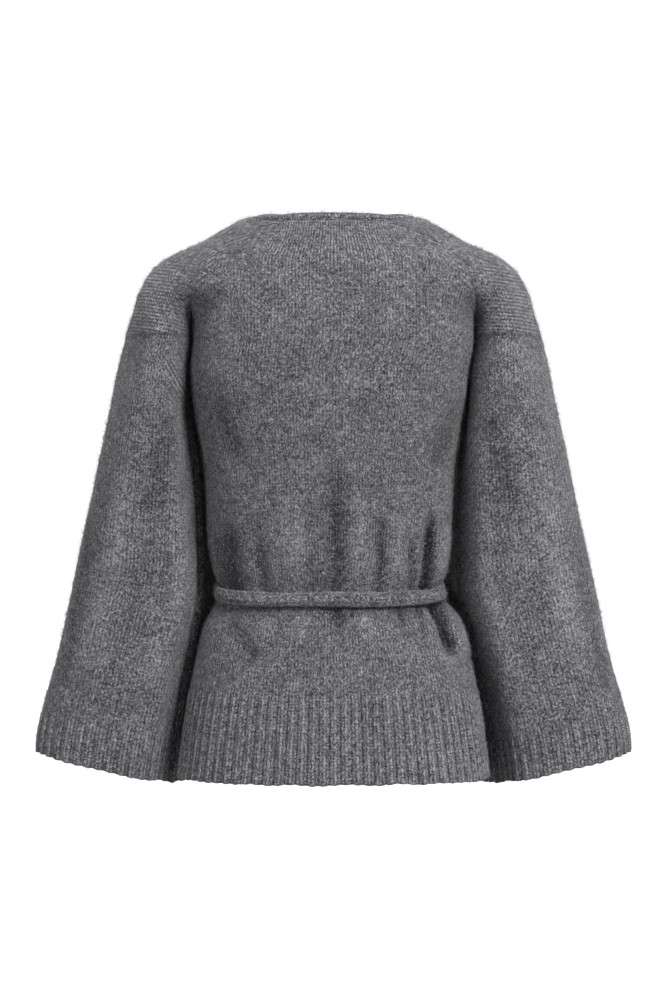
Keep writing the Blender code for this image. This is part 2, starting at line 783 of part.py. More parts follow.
def on_waist(is_back, share, drop_below_belt, stand_off):
    """A place outside the worn cloth near the belt, with its normal."""
    place = np.array([share])
    drop = BELT_DROP + drop_below_belt
    for _ in range(3):
        base = torso(is_back, drop, place)
        drop = float(belt_drop(base[0, 1])) + drop_below_belt
    normal = torso_normals(is_back, drop, place)[0]
    lift = -BELT_PINCH * math.exp(-((drop_below_belt / BELT_PINCH_REACH) ** 2))
    if not is_back:
        lift += float(lap_cover(base[0, 0]))
    return base[0] + normal * (lift + stand_off), normal


def front_share(x, drop):
    """The share of the front's row at which it reaches x."""
    every = np.linspace(-1, 1, 401)
    return float(np.interp(x, torso(False, drop, every)[:, 0], every))


def make_belt(parent):
    """The stretch of the belt round the waist, from one side of the knot to the other."""
    left_start = front_share(KNOT_X + KNOT_HALF[0] - END_OVERLAP, BELT_DROP)
    right_end = front_share(KNOT_X - KNOT_HALF[0] + END_OVERLAP, BELT_DROP)
    stops = [(False, share) for share in np.linspace(left_start, 1, 9)[:-1]]
    stops += [(True, share) for share in np.linspace(1, -1, 29)[:-1]]
    stops += [(False, share) for share in np.linspace(-1, right_end, 17)]
    stand_off = BELT_STAND_OFF + BELT_HALF_THICKNESS
    places = [on_waist(is_back, share, 0.0, stand_off) for is_back, share in stops]
    points = np.array([point for point, _ in places])
    normals = np.array([normal for _, normal in places])
    along = tangents(points)
    upwards = np.cross(normals, along)
    upwards /= np.linalg.norm(upwards, axis=1)[:, None]
    normals = np.cross(along, upwards)
    angle = np.linspace(0, 2 * math.pi, 9)[:-1]
    width = BELT_HALF_HEIGHT * np.sign(np.cos(angle)) * np.abs(np.cos(angle)) ** BELT_ROUNDNESS
    depth = BELT_HALF_THICKNESS * np.sign(np.sin(angle)) * np.abs(np.sin(angle)) ** BELT_ROUNDNESS
    wall = Wall()
    sweep(wall, points, normals, upwards, list(zip(width, depth)))
    add_piece("belt_waist", wall, points[0], parent)


def make_knot(parent):
    """The tied part of the belt, a small rounded lump on the lapped front."""
    share = front_share(KNOT_X, BELT_DROP)
    centre, normal = on_waist(False, share, 0.0, KNOT_HALF[1] - KNOT_INSET)
    up = np.array([0.0, 0.0, 1.0])
    across = np.cross(normal, up)
    across /= np.linalg.norm(across)
    up = np.cross(across, normal)
    wall = Wall()
    rings = []
    for latitude in np.linspace(-math.pi / 2, math.pi / 2, KNOT_RINGS)[1:-1]:
        ring = []
        for longitude in np.linspace(0, 2 * math.pi, KNOT_COLUMNS + 1)[:-1]:
            flat = math.cos(latitude)
            ball = np.array([flat * math.cos(longitude), flat * math.sin(longitude), math.sin(latitude)])
            square = np.sign(ball) * np.abs(ball) ** KNOT_ROUNDNESS * KNOT_HALF
            ring.append(centre + across * square[0] + normal * square[1] + up * square[2])
        rings.append(wall.add(ring))
    foot = wall.add([centre - up * KNOT_HALF[2]])[0]
    crown = wall.add([centre + up * KNOT_HALF[2]])[0]
    for k in range(KNOT_COLUMNS):
        after = (k + 1) % KNOT_COLUMNS
        for ring, following in zip(rings, rings[1:]):
            wall.faces.append((ring[k], following[k], following[after], ring[after]))
        wall.faces.append((foot, rings[0][k], rings[0][after]))
        wall.faces.append((crown, rings[-1][after], rings[-1][k]))
    add_piece("belt_knot", wall, centre, parent)


def make_belt_end(end, parent):
    """A free end of the belt, hanging from the knot down the lapped front."""
    places = []
    for t in np.linspace(0, 1, END_STATIONS):
        below = KNOT_HALF[2] + END_BELOW_KNOT + t * end.length
        share = front_share(end.x_top + (end.x_foot - end.x_top) * smooth(t), BELT_DROP + below)
        places.append(on_waist(False, share, below, END_HALF_THICKNESS + END_STAND_OFF))
    points = np.array([point for point, _ in places])
    normals = np.array([normal for _, normal in places])
    along = tangents(points)
    sideways = np.cross(along, normals)
    sideways /= np.linalg.norm(sideways, axis=1)[:, None]
    normals = np.cross(sideways, along)
    wide = END_HALF_WIDTH
    thick = END_HALF_THICKNESS
    section = (
        (-wide, -thick + END_ROUNDING),
        (-wide, thick - END_ROUNDING),
        (-wide + END_ROUNDING, thick),
        (wide - END_ROUNDING, thick),
        (wide, thick - END_ROUNDING),
        (wide, -thick + END_ROUNDING),
        (wide - END_ROUNDING, -thick),
        (-wide + END_ROUNDING, -thick),
    )
    wall = Wall()
    sweep(wall, points, normals, sideways, section)
    add_piece(end.name, wall, points[0], parent)


def main():
    """Clears the scene and makes every piece under one empty at the origin."""
    for old in list(bpy.data.objects):
        bpy.data.objects.remove(old)
    cardigan = bpy.data.objects.new("wrap_cardigan", None)
    bpy.context.collection.objects.link(cardigan)
    pieces = {}
    make_panel("back", True, False, cardigan, pieces)
    make_panel("front_left", False, True, cardigan, pieces)
    make_panel("front_right", False, False, cardigan, pieces)
    make_sleeve("sleeve_left", True, cardigan, pieces)
    make_sleeve("sleeve_right", False, cardigan, pieces)
    make_neckband(cardigan, pieces)
    make_belt(cardigan)
    make_knot(cardigan)
    for end in BELT_ENDS:
        make_belt_end(end, cardigan)


main()
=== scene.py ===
"""A brushed wool wrap cardigan with wide raglan sleeves and a tie belt, in its worn, hollow form.

Sizes are in millimetres here and turned to metres as each mesh is made. The wearer faces -Y, the
wearer's left is +X, and +Z is up. Heights are written as a drop: how far a place lies below the
origin, which is between the shoulders, where the wearer holds the garment up.
"""

from __future__ import annotations

import logging
import math
from dataclasses import dataclass, field
from enum import Enum
from typing import Any, NamedTuple

import bmesh
import bpy
import numpy as np
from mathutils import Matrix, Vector


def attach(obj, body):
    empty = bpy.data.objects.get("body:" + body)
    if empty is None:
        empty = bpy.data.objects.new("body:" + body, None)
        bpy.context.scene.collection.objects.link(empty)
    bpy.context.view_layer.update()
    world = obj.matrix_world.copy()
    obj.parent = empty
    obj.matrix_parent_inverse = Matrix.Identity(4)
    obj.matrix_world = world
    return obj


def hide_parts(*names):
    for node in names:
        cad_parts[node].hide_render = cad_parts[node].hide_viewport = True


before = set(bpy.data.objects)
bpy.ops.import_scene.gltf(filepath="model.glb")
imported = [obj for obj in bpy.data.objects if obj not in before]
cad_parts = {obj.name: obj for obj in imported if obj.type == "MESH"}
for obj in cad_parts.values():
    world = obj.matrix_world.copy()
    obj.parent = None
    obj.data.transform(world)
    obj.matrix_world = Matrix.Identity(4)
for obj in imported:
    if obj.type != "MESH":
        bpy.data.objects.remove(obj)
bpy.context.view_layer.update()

LOG = logging.getLogger("cardigan")
MM = 0.001
Array = np.ndarray


class Side(Enum):
    """The wearer's two sides."""

    LEFT = 1
    RIGHT = -1


class Cut(Enum):
    """The three panels of the cardigan's body."""

    BACK = "back"
    FRONT_LEFT = "front_left"
    FRONT_RIGHT = "front_right"


class Slice(NamedTuple):
    """The form cut level at one drop: half width, depths behind and before, and squareness."""

    drop: float
    half_width: float
    back: float
    front: float
    power: float


class Reach(NamedTuple):
    """How far a line on the form lies from the middle, at one drop."""

    drop: float
    x: float


class Ring(NamedTuple):
    """One round of a sleeve: where its outer and inner sides lie, and its depths."""

    drop: float
    outer: float
    inner_left: float
    inner_right: float
    back: float
    front: float


class Fold(NamedTuple):
    """A soft crease between two places, raised if its height is above zero.

    On the body a place is an x and a drop. On a sleeve the x is a share of the way round.
    """

    x_from: float
    drop_from: float
    x_to: float
    drop_to: float
    width: float
    height: float


SHOULDERS = (
    Slice(3, 86, 62, 48, 2),
    Slice(5, 95, 64, 50, 2),
    Slice(11.5, 108, 67.5, 55, 2),
    Slice(18, 119, 71, 60, 2),
    Slice(24, 129, 74, 64, 2),
    Slice(30.5, 141, 77, 68, 2),
    Slice(37, 156.5, 79.5, 72, 2),
    Slice(43, 169, 82, 75, 2),
    Slice(49.5, 180, 84, 78, 2.03),
    Slice(56, 187.5, 86, 81, 2.06),
    Slice(62, 193, 87.5, 84, 2.1),
    Slice(75, 200.6, 90.5, 88.5, 2.15),
    Slice(87, 206, 93, 93, 2.2),
    Slice(102, 210, 95.5, 98, 2.25),
    Slice(120, 216, 97.5, 103, 2.28),
    Slice(136, 220, 98.5, 107, 2.3),
)

TORSO = (
    Slice(60, 147, 87, 83.5, 3.0),
    Slice(135, 147, 98.5, 107, 2.9),
    Slice(185, 144, 99, 114, 2.6),
    Slice(225, 138, 97, 117, 2.4),
    Slice(268, 131.5, 93, 112, 2.25),
    Slice(315, 129, 88.5, 103, 2.25),
    Slice(345, 127.5, 86, 97, 2.25),
    Slice(372, 123, 84, 92, 2.25),
    Slice(394, 120.5, 83, 90.5, 2.25),
    Slice(410, 126, 85.5, 92.5, 2.25),
    Slice(430, 136, 90, 96, 2.25),
    Slice(470, 145, 97, 102, 2.3),
    Slice(525, 155, 105, 107, 2.35),
    Slice(600, 165, 113, 111, 2.4),
)

BACK_SEAM = (
    Reach(12, 54),
    Reach(22, 86),
    Reach(38, 116),
    Reach(55, 134),
    Reach(80, 144),
    Reach(105, 149),
    Reach(136, 151.5),
)

FRONT_SEAM = (
    Reach(30, 80),
    Reach(38, 97),
    Reach(50, 118),
    Reach(66, 134),
    Reach(85, 143),
    Reach(105, 148),
    Reach(136, 151),
)

BACK_NECK_EDGE = (
    Reach(4.5, 86),
    Reach(6, 81.5),
    Reach(8, 75),
    Reach(10, 66),
    Reach(12, 54),
)

FRONT_NECK_EDGE = (
    Reach(4.5, 86),
    Reach(8, 86.5),
    Reach(14, 85),
    Reach(22, 82),
    Reach(30, 79.5),
)

FRONT_EDGE = (
    Reach(30, 77.5),
    Reach(45, 71.5),
    Reach(60, 65.5),
    Reach(80, 58.5),
    Reach(100, 50),
    Reach(130, 36.5),
    Reach(160, 23),
    Reach(190, 9.5),
    Reach(212, 0),
    Reach(250, -17),
    Reach(300, -38),
    Reach(350, -58),
    Reach(394, -73),
    Reach(440, -79),
    Reach(500, -83),
    Reach(600, -88),
)

SLEEVE = (
    Ring(135, 219.7, 147.5, 147.5, 62, 65),
    Ring(165, 227, 153, 147.6, 63, 66),
    Ring(200, 234, 155, 145, 63, 66),
    Ring(240, 242.3, 148.5, 140, 62, 64),
    Ring(290, 252.4, 144.5, 138.5, 59, 61),
    Ring(341, 264, 140.5, 140, 56, 57),
    Ring(380, 272.4, 136.5, 141.5, 54, 56),
    Ring(404, 277.6, 137, 140.5, 53, 55),
    Ring(442, 285.7, 147, 148, 52, 54),
    Ring(480, 295.4, 156, 158.5, 51, 53),
    Ring(518, 306.2, 163, 167.5, 50, 52),
    Ring(556, 312.6, 169.5, 175, 49, 51),
    Ring(592, 313, 176, 180, 48, 50),
)

BACK_FOLDS = (
    Fold(-103, 306, -96, 412, 11, -12.0),
    Fold(-114, 318, -112, 392, 14, 4.0),
    Fold(-2, 252, -3, 412, 20, -3.5),
    Fold(46, 282, 43, 374, 22, 2.0),
    Fold(-24, 282, -26, 378, 15, 1.8),
    Fold(-50, 304, -46, 410, 11, -3.4),
    Fold(-66, 306, -64, 378, 13, 1.8),
    Fold(-78, 326, -82, 408, 8, -2.4),
    Fold(80, 318, 70, 408, 14, -2.6),
    Fold(20, 330, 24, 408, 12, -1.6),
    Fold(110, 316, 106, 412, 22, -5.0),
    Fold(-98, 380, -126, 462, 12, -12.0),
    Fold(-114, 410, -140, 464, 14, 3.6),
    Fold(-84, 388, -94, 440, 8, -2.6),
    Fold(-2, 388, -6, 442, 12, -3.2),
    Fold(-67, 388, -72, 438, 9, -3.0),
    Fold(34, 410, 36, 448, 15, 2.2),
    Fold(-30, 410, -34, 448, 14, 2.0),
    Fold(112, 414, 72, 470, 15, -2.6),
    Fold(128, 180, 96, 262, 18, -2.2),
    Fold(-132, 190, -100, 270, 18, -2.0),
)

FRONT_FOLDS = (
    Fold(-96, 318, -90, 386, 12, -4.0),
    Fold(-74, 326, -70, 384, 12, -2.4),
    Fold(-20, 330, -8, 384, 13, -2.4),
    Fold(98, 322, 94, 384, 13, -3.6),
    Fold(-60, 402, -72, 470, 12, -2.6),
    Fold(-98, 404, -118, 462, 12, -3.6),
    Fold(104, 406, 124, 460, 12, -3.6),
    Fold(-90, 212, -52, 300, 22, -2.4),
    Fold(92, 214, 56, 300, 22, -2.4),
)

SLEEVE_FOLDS = (
    Fold(0.16, 180, 0.24, 330, 26, -1.6),
    Fold(0.30, 230, 0.34, 520, 34, 1.4),
    Fold(0.42, 300, 0.40, 540, 24, -1.3),
    Fold(0.12, 300, 0.16, 520, 26, 1.3),
    Fold(0.60, 200, 0.64, 400, 28, -1.5),
    Fold(0.76, 260, 0.72, 520, 30, 1.3),
    Fold(0.86, 240, 0.84, 480, 24, -1.3),
)

# A short seam that shows as a few fine slanting ridges behind the left arm.
ARM_SEAM = Fold(178, 148, 152, 196, 13, 1.3)

# The shares of a fold's length over which it deepens from its start and fades to its end.
FOLD_HEAD = 0.35
FOLD_FOOT = 0.2

# How much of a groove is pressed flat by the belt that crosses it.
BELT_FLATTENS = 0.6


def smooth(share: Array | float) -> Array | float:
    """A soft step from 0 to 1 as the share goes from 0 to 1."""
    share = np.clip(share, 0.0, 1.0)
    return share * share * (3 - 2 * share)


def read(table: tuple, column: str, drop: float) -> float:
    """Reads a table at any drop, on a smooth curve that doesn't overshoot its rows.

    Args:
        table: Rows with a drop each, from the top down.
        column: The name of the value to read.
        drop: The drop to read it at.

    Returns:
        The value there, in millimetres or as the table has it.
    """
    knots = np.array([row.drop for row in table], float)
    values = np.array([getattr(row, column) for row in table], float)
    step = np.diff(knots)
    slope = np.diff(values) / step
    lean = np.concatenate([slope[:1], np.zeros(len(slope) - 1), slope[-1:]])
    rising = np.flatnonzero(slope[:-1] * slope[1:] > 0)
    lean[rising + 1] = 2 * slope[rising] * slope[rising + 1] / (slope[rising] + slope[rising + 1])
    at = np.clip(drop, knots[0], knots[-1])
    i = np.clip(np.searchsorted(knots, at) - 1, 0, len(step) - 1)
    t = (at - knots[i]) / step[i]
    start = (1 + 2 * t) * (1 - t) ** 2 * values[i] + t * (1 - t) ** 2 * step[i] * lean[i]
    end = t * t * (3 - 2 * t) * values[i + 1] - t * t * (1 - t) * step[i] * lean[i + 1]
    return start + end


def by_length(x: Array, y: Array, share: Array, reach: float | None = None) -> tuple[Array, Array]:
    """Points at shares of a polyline's length, or of its length as far as x = reach."""
    length = np.concatenate([[0.0], np.cumsum(np.hypot(np.diff(x), np.diff(y)))])
    whole = length[-1] if reach is None else np.interp(reach, x, length)
    return np.interp(share * whole, length, x), np.interp(share * whole, length, y)


def by_halves(x: Array, y: Array, share: Array) -> Array:
    """Points at shares of a sleeve's round, with its outermost point always at one half."""
    tip = int(np.argmax(x))
    behind = by_length(x[: tip + 1], y[: tip + 1], np.minimum(2 * share, 1))
    before = by_length(x[tip:], y[tip:], np.maximum(2 * share - 1, 0))
    return np.where(share <= 0.5, behind, before)


def quarter(half_width: float, depth: float, power: float) -> tuple[Array, Array]:
    """A quarter of a level slice, from the middle of the back or front to the side."""
    angle = np.linspace(0.0, math.pi / 2, 240)
    return half_width * np.sin(angle) ** (2 / power), depth * np.cos(angle) ** (2 / power)


def fold_height(folds: tuple, place: Array, drop: float, scale: float = 1.0) -> Array:
    """How far folds lift the cloth along one row.

    Args:
        folds: The folds of this piece.
        place: Each point's x, or its share of the way round a sleeve.
        drop: The row's drop.
        scale: Millimetres for each unit of place.

    Returns:
        The lift of each point.
    """
    lift = np.zeros(len(place))
    for fold in folds:
        along = np.array([(fold.x_to - fold.x_from) * scale, fold.drop_to - fold.drop_from])
        length = np.hypot(*along)
        along = along / length
        across = (place - fold.x_from) * scale
        run = across * along[0] + (drop - fold.drop_from) * along[1]
        off = across * along[1] - (drop - fold.drop_from) * along[0]
        taper = smooth(run / length / FOLD_HEAD) * smooth((length - run) / length / FOLD_FOOT)
        lift += fold.height * taper * np.exp(-((2 * off / fold.width) ** 2))
    return lift


def unevenness(a: Array, b: Array, seed: float) -> Array:
    """A gentle, irregular swell between -1 and 1, of long and short waves, over two lengths."""
    # The wave lengths have no common measure, so that no pattern repeats within the garment.
    swell = np.sin(a / 17.3 + seed + 1.9 * np.sin(b / 41.0 + seed))
    swell = swell + 0.8 * np.sin(b / 23.7 + 2.1 * seed + 1.4 * np.sin(a / 29.0))
    swell = swell + 0.5 * np.sin(a / 7.9 - b / 11.3 + 3.7 * seed)
    return swell / 2.3


def unit(vectors: Array) -> Array:
    """Vectors drawn to a length of one."""
    return vectors / np.maximum(np.linalg.norm(vectors, axis=-1, keepdims=True), 1e-9)


def tangents(points: Array) -> Array:
    """Unit directions along a line of points."""
    return unit(np.gradient(points, axis=0))


@dataclass(frozen=True)
class CardiganForm:
    """The form that the worn cardigan is laid on.

    It is the form of the solids, and leaves it by a few millimetres where the photo does: in the
    body's lean, in the dip behind each arm and in the side pinch of the belt.
    """

    underarm_drop: float = 135.0
    armhole_turn_drop: float = 68.0
    neck_back_drop: float = 12.0
    neck_front_drop: float = 30.0
    neck_top_drop: float = 4.5
    neck_line_rise: float = 0.8
    neck_top_inset: float = 0.94
    lap_lift: float = 6.0
    lap_lead: float = 48.0
    lap_ramp: float = 24.0
    lap_cover_end: float = 39.0
    band_rise: float = 1.3
    belt_drop: float = 394.0
    belt_dip: float = 8.0
    belt_pinch: float = 4.0
    belt_pinch_reach: float = 18.0
    side_pinch: float = 3.0
    side_pinch_width: float = 36.0
    side_pinch_reach: float = 10.0
    belt_calm_reach: float = 11.0
    belt_groove_reach: float = 6.0
    sleeve_sway: float = -12.0
    sleeve_fill_length: float = 150.0
    lean_left: float = 4.5
    lean_start: float = 128.0
    lean_ramp: float = 40.0
    lean_end: float = 385.0
    inner_power_top: float = 2.2
    inner_power: float = 3.1
    inner_power_length: float = 75.0
    inner_hollow_left: float = 8.0
    inner_hollow_right: float = 4.5
    inner_hollow_start: float = 165.0
    inner_hollow_length: float = 90.0
    inner_hollow_angle: float = math.pi / 12
    inner_hollow_spread: float = 0.55
    outer_power_top: float = 1.5
    outer_power: float = 2.2
    sleeve_clearance: float = 5.0
    belt_clearance: float = 9.0
    belt_clearance_reach: float = 26.0
    tuck_corner: float = 1.75 * math.pi
    tuck_spread: float = 0.62
    tuck_start_drop: float = 118.0
    tuck_length: float = 24.0
    cuff_drop: float = 595.0
    cuff_rise: float = 31.0
    share_step: float = 0.004
    drop_step: float = 0.5

    def armhole_turn(self, drop: float) -> float:
        """0 where a panel ends on the shoulders' form, 1 where it reaches the side."""
        t = np.clip((drop - self.armhole_turn_drop) / (self.underarm_drop - self.armhole_turn_drop), 0, 1)
        return t * t * t * (t * (6 * t - 15) + 10)

    def lean(self, drop: float) -> float:
        """How far the body hangs towards the wearer's left at a drop, between the arms and the belt."""
        return self.lean_left * smooth((drop - self.lean_start) / self.lean_ramp) * (
            1 - smooth((drop - self.lean_end) / self.lean_ramp)
        )

    def torso(self, is_back: bool, drop: float, share: Array) -> Array:
        """Base points of the torso along one row.

        Args:
            is_back: Whether the row is on the back.
            drop: The row's drop.
            share: Places from -1, the wearer's right side, to 1, the left side.

        Returns:
            A point for each share.
        """
        depth = "back" if is_back else "front"
        out = np.abs(share)
        turn = self.armhole_turn(drop)
        columns = ("half_width", depth, "power")
        x, y = by_length(*quarter(*[read(TORSO, column, drop) for column in columns]), out)
        if turn < 1:
            upper = quarter(*[read(SHOULDERS, column, drop) for column in columns])
            x_up, y_up = by_length(*upper, out, read(BACK_SEAM if is_back else FRONT_SEAM, "x", drop))
            x = (1 - turn) * x_up + turn * x
            y = (1 - turn) * y_up + turn * y
        facing = 1 if is_back else -1
        x = np.sign(share) * x + self.lean(drop)
        return np.column_stack([x, facing * y, np.full(len(out), -float(drop))])

    def torso_normals(self, is_back: bool, drop: float, share: Array) -> Array:
        """Unit normals of the torso's base form along one row, pointing out."""
        ahead = self.torso(is_back, drop, np.minimum(share + self.share_step, 1))
        behind = self.torso(is_back, drop, np.maximum(share - self.share_step, -1))
        below = self.torso(is_back, drop + self.drop_step, share)
        down = below - self.torso(is_back, drop - self.drop_step, share)
        normal = unit(np.cross(ahead - behind, down))
        return normal if is_back else -normal

    def belt_line(self, y: Array | float) -> Array | float:
        """The drop of the belt's middle line at a depth: it dips a little behind."""
        return self.belt_drop + self.belt_dip * y / read(TORSO, "back", self.belt_drop)

    def front_edge(self, side: Side, drop: float) -> float:
        """The x at which a front ends at one drop."""
        return read(FRONT_EDGE, "x", drop) * side.value

    def lap_height(self, x: Array, drop: float) -> Array:
        """How far the right front is lifted to lie over the left one."""
        edge = self.front_edge(Side.LEFT, drop)
        return self.lap_lift * smooth((x - edge + self.lap_lead) / self.lap_ramp)

    def pinch(self, y: Array | float, from_belt: Array | float) -> Array | float:
        """How far the belt draws the cloth in, a little more at the sides."""
        drawn = self.belt_pinch * np.exp(-((from_belt / self.belt_pinch_reach) ** 2))
        side = self.side_pinch * np.exp(-((y / self.side_pinch_width) ** 2))
        return drawn + side * np.exp(-((from_belt / self.side_pinch_reach) ** 2))

    def creases(self, cut: Cut, x: Array, y: Array, drop: float) -> Array:
        """How far the body's folds lift its cloth: grooves run under the belt, ridges end before it."""
        folds = BACK_FOLDS if cut is Cut.BACK else FRONT_FOLDS
        from_belt = drop - self.belt_line(y)
        ridges = fold_height(tuple(fold for fold in folds if fold.height > 0), x, drop)
        grooves = fold_height(tuple(fold for fold in folds if fold.height < 0), x, drop)
        ridges *= 1 - np.exp(-((from_belt / self.belt_calm_reach) ** 2))
        under_belt = np.exp(-((from_belt / self.belt_groove_reach) ** 2))
        return ridges + grooves * (1 - BELT_FLATTENS * under_belt)

    def torso_lift(self, cut: Cut, points: Array) -> Array:
        """How far the worn cloth stands off the form: folds, the belt's pinch and the wrap."""
        x, y, drop = points[:, 0], points[:, 1], -points[0, 2]
        lift = self.creases(cut, x, y, drop) - self.pinch(y, drop - self.belt_line(y))
        return lift + self.lap_height(x, drop) if cut is Cut.FRONT_RIGHT else lift

    def lap_cover(self, x: float) -> float:
        """How far the belt is held off by the lapped front and its band."""
        edge = -read(FRONT_EDGE, "x", self.belt_drop)
        rise = smooth((x + edge + self.lap_lead) / self.lap_ramp)
        fall = smooth((edge + self.lap_cover_end - x) / self.lap_ramp)
        return float((self.lap_lift + self.band_rise) * rise * fall)

    def front_share(self, x: float, drop: float) -> float:
        """The share of the front's row at which it reaches x."""
        every = np.linspace(-1, 1, 401)
        return float(np.interp(x, self.torso(False, drop, every)[:, 0], every))

    def on_waist(
        self, is_back: bool, share: float, below: float, stand_off: float
    ) -> tuple[Array, Array]:
        """A place outside the worn cloth near the belt.

        Args:
            is_back: Whether the place is on the back.
            share: Its place round the body.
            below: How far it lies below the belt's middle line.
            stand_off: How far it stands off the cloth.

        Returns:
            The point and the form's normal there.
        """
        place = np.array([share])
        drop = self.belt_drop + below
        for _ in range(3):
            base = self.torso(is_back, drop, place)
            drop = float(self.belt_line(base[0, 1])) + below
        normal = self.torso_normals(is_back, drop, place)[0]
        lift = -float(self.pinch(base[0, 1], below))
        if not is_back:
            lift += self.lap_cover(base[0, 0])
        return base[0] + normal * (lift + stand_off), normal

    def shoulder_arc(self, drop: float, share: Array) -> Array:
        """Base points of a sleeve's top, from its back seam round the outer side to its front seam."""
        half_width = read(SHOULDERS, "half_width", drop)
        power = read(SHOULDERS, "power", drop)
        back_line = BACK_NECK_EDGE if drop < self.neck_back_drop else BACK_SEAM
        front_line = FRONT_NECK_EDGE if drop < self.neck_front_drop else FRONT_SEAM
        start = math.asin((read(back_line, "x", drop) / half_width) ** (power / 2))
        end = math.pi - math.asin((read(front_line, "x", drop) / half_width) ** (power / 2))
        to_tip = np.linspace(start, math.pi / 2, 160)
        from_tip = np.linspace(math.pi / 2, end, 160)
        angle = np.concatenate([to_tip, from_tip[1:]])
        behind = angle < math.pi / 2
        depth = np.where(behind, read(SHOULDERS, "back", drop), read(SHOULDERS, "front", drop))
        y = depth * np.sign(np.cos(angle)) * np.abs(np.cos(angle)) ** (2 / power)
        return by_halves(half_width * np.sin(angle) ** (2 / power), y, share)

    def torso_half_width(self, drop: float, y: Array) -> Array:
        """How wide the torso is at a depth behind or before its middle."""
        power = read(TORSO, "power", drop)
        depth = np.where(y > 0, read(TORSO, "back", drop), read(TORSO, "front", drop))
        inside = np.clip(1 - (np.abs(y) / depth) ** power, 0, 1)
        return read(TORSO, "half_width", drop) * inside ** (1 / power)

    def arm_ring(self, side: Side, drop: float, share: Array) -> tuple[Array, Array, Array]:
        """Base points of one round of a sleeve below the arm, from its inner side round the back."""
        inner = read(SLEEVE, "inner_left" if side is Side.LEFT else "inner_right", drop)
        inner -= self.lean(drop) if side is Side.RIGHT else 0.0
        along = (drop - self.underarm_drop) / (self.cuff_drop - self.underarm_drop)
        rise = self.cuff_rise * along
        outer = read(SLEEVE, "outer", drop - rise)
        angle = np.linspace(0.0, 2 * math.pi, 481)
        fullness = smooth((drop - self.underarm_drop) / self.sleeve_fill_length)
        outer_power = self.outer_power_top + (self.outer_power - self.outer_power_top) * fullness
        squarer = smooth((drop - self.underarm_drop) / self.inner_power_length)
        inner_power = self.inner_power_top + (self.inner_power - self.inner_power_top) * squarer
        bend = 2 / np.where(np.cos(angle) > 0, inner_power, outer_power)
        level = np.sign(np.cos(angle)) * np.abs(np.cos(angle)) ** bend
        x = (inner + outer) / 2 - (outer - inner) / 2 * level
        depth = np.where(np.sin(angle) > 0, read(SLEEVE, "back", drop), read(SLEEVE, "front", drop))
        y = depth * np.sign(np.sin(angle)) * np.abs(np.sin(angle)) ** bend
        y += self.sleeve_sway * smooth(along)
        beside = self.torso_half_width(drop, y) + self.lean(drop) * side.value + self.sleeve_clearance
        from_belt = (drop - self.belt_drop) / self.belt_clearance_reach
        beside += self.belt_clearance * math.exp(-(from_belt**2))
        i = np.argmin(np.abs(angle - self.tuck_corner))
        tuck = max(0.0, x[i] - beside[i]) * smooth((drop - self.tuck_start_drop) / self.tuck_length)
        away = np.abs(angle - self.tuck_corner)
        away = np.minimum(away, np.abs(angle + 2 * math.pi - self.tuck_corner))
        x = np.maximum(x - tuck * np.exp(-((away / self.tuck_spread) ** 2)), np.minimum(x, beside))
        # Behind the arm the sleeve hangs a little farther off the body than it does in front.
        scoop = self.inner_hollow_left if side is Side.LEFT else self.inner_hollow_right
        scoop *= smooth((drop - self.inner_hollow_start) / self.inner_hollow_length)
        x += scoop * np.exp(-(((angle - self.inner_hollow_angle) / self.inner_hollow_spread) ** 2))
        x[-1] = x[0]
        x, y = by_halves(x, y, share)
        height = -drop + rise * (x - inner) / (outer - inner)
        return x, y, height

    def sleeve(self, side: Side, drop: float, share: Array) -> Array:
        """Base points of a sleeve along one row: open over the shoulder, closed below the arm."""
        turn = self.armhole_turn(drop)
        if turn < 1:
            x, y = self.shoulder_arc(drop, share)
            height = np.full(len(share), -float(drop))
            if turn > 0:
                ring_x, ring_y, _ = self.arm_ring(side, self.underarm_drop, share)
                column = "inner_left" if side is Side.LEFT else "inner_right"
                inner, outer = read(SLEEVE, column, self.underarm_drop), SLEEVE[0].outer
                widen = (read(SHOULDERS, "half_width", drop) - inner) / (outer - inner)
                x = (1 - turn) * x + turn * (inner + (ring_x - inner) * widen)
                y = (1 - turn) * y + turn * ring_y
        else:
            x, y, height = self.arm_ring(side, drop, share)
        return np.column_stack([x * side.value, y, height])

    def sleeve_normals(self, side: Side, drop: float, share: Array) -> Array:
        """Unit normals of a sleeve's base form along one row, pointing out."""
        ahead = share + self.share_step
        behind = share - self.share_step
        if drop >= self.underarm_drop:
            across = self.sleeve(side, drop, ahead % 1.0) - self.sleeve(side, drop, behind % 1.0)
        else:
            after = self.sleeve(side, drop, np.minimum(ahead, 1))
            across = after - self.sleeve(side, drop, np.maximum(behind, 0))
        above = self.sleeve(side, max(drop - self.drop_step, self.neck_top_drop), share)
        normal = unit(np.cross(across, self.sleeve(side, drop + self.drop_step, share) - above))
        return normal * side.value


FORM = CardiganForm()


def linear(colour: str) -> tuple[float, float, float, float]:
    """Turns an sRGB hex colour such as #6b6b70 to linear red, green, blue and alpha."""
    channels = [int(colour[i : i + 2], 16) / 255 for i in (1, 3, 5)]
    red, green, blue = [c / 12.92 if c <= 0.04045 else ((c + 0.055) / 1.055) ** 2.4 for c in channels]
    return red, green, blue, 1.0


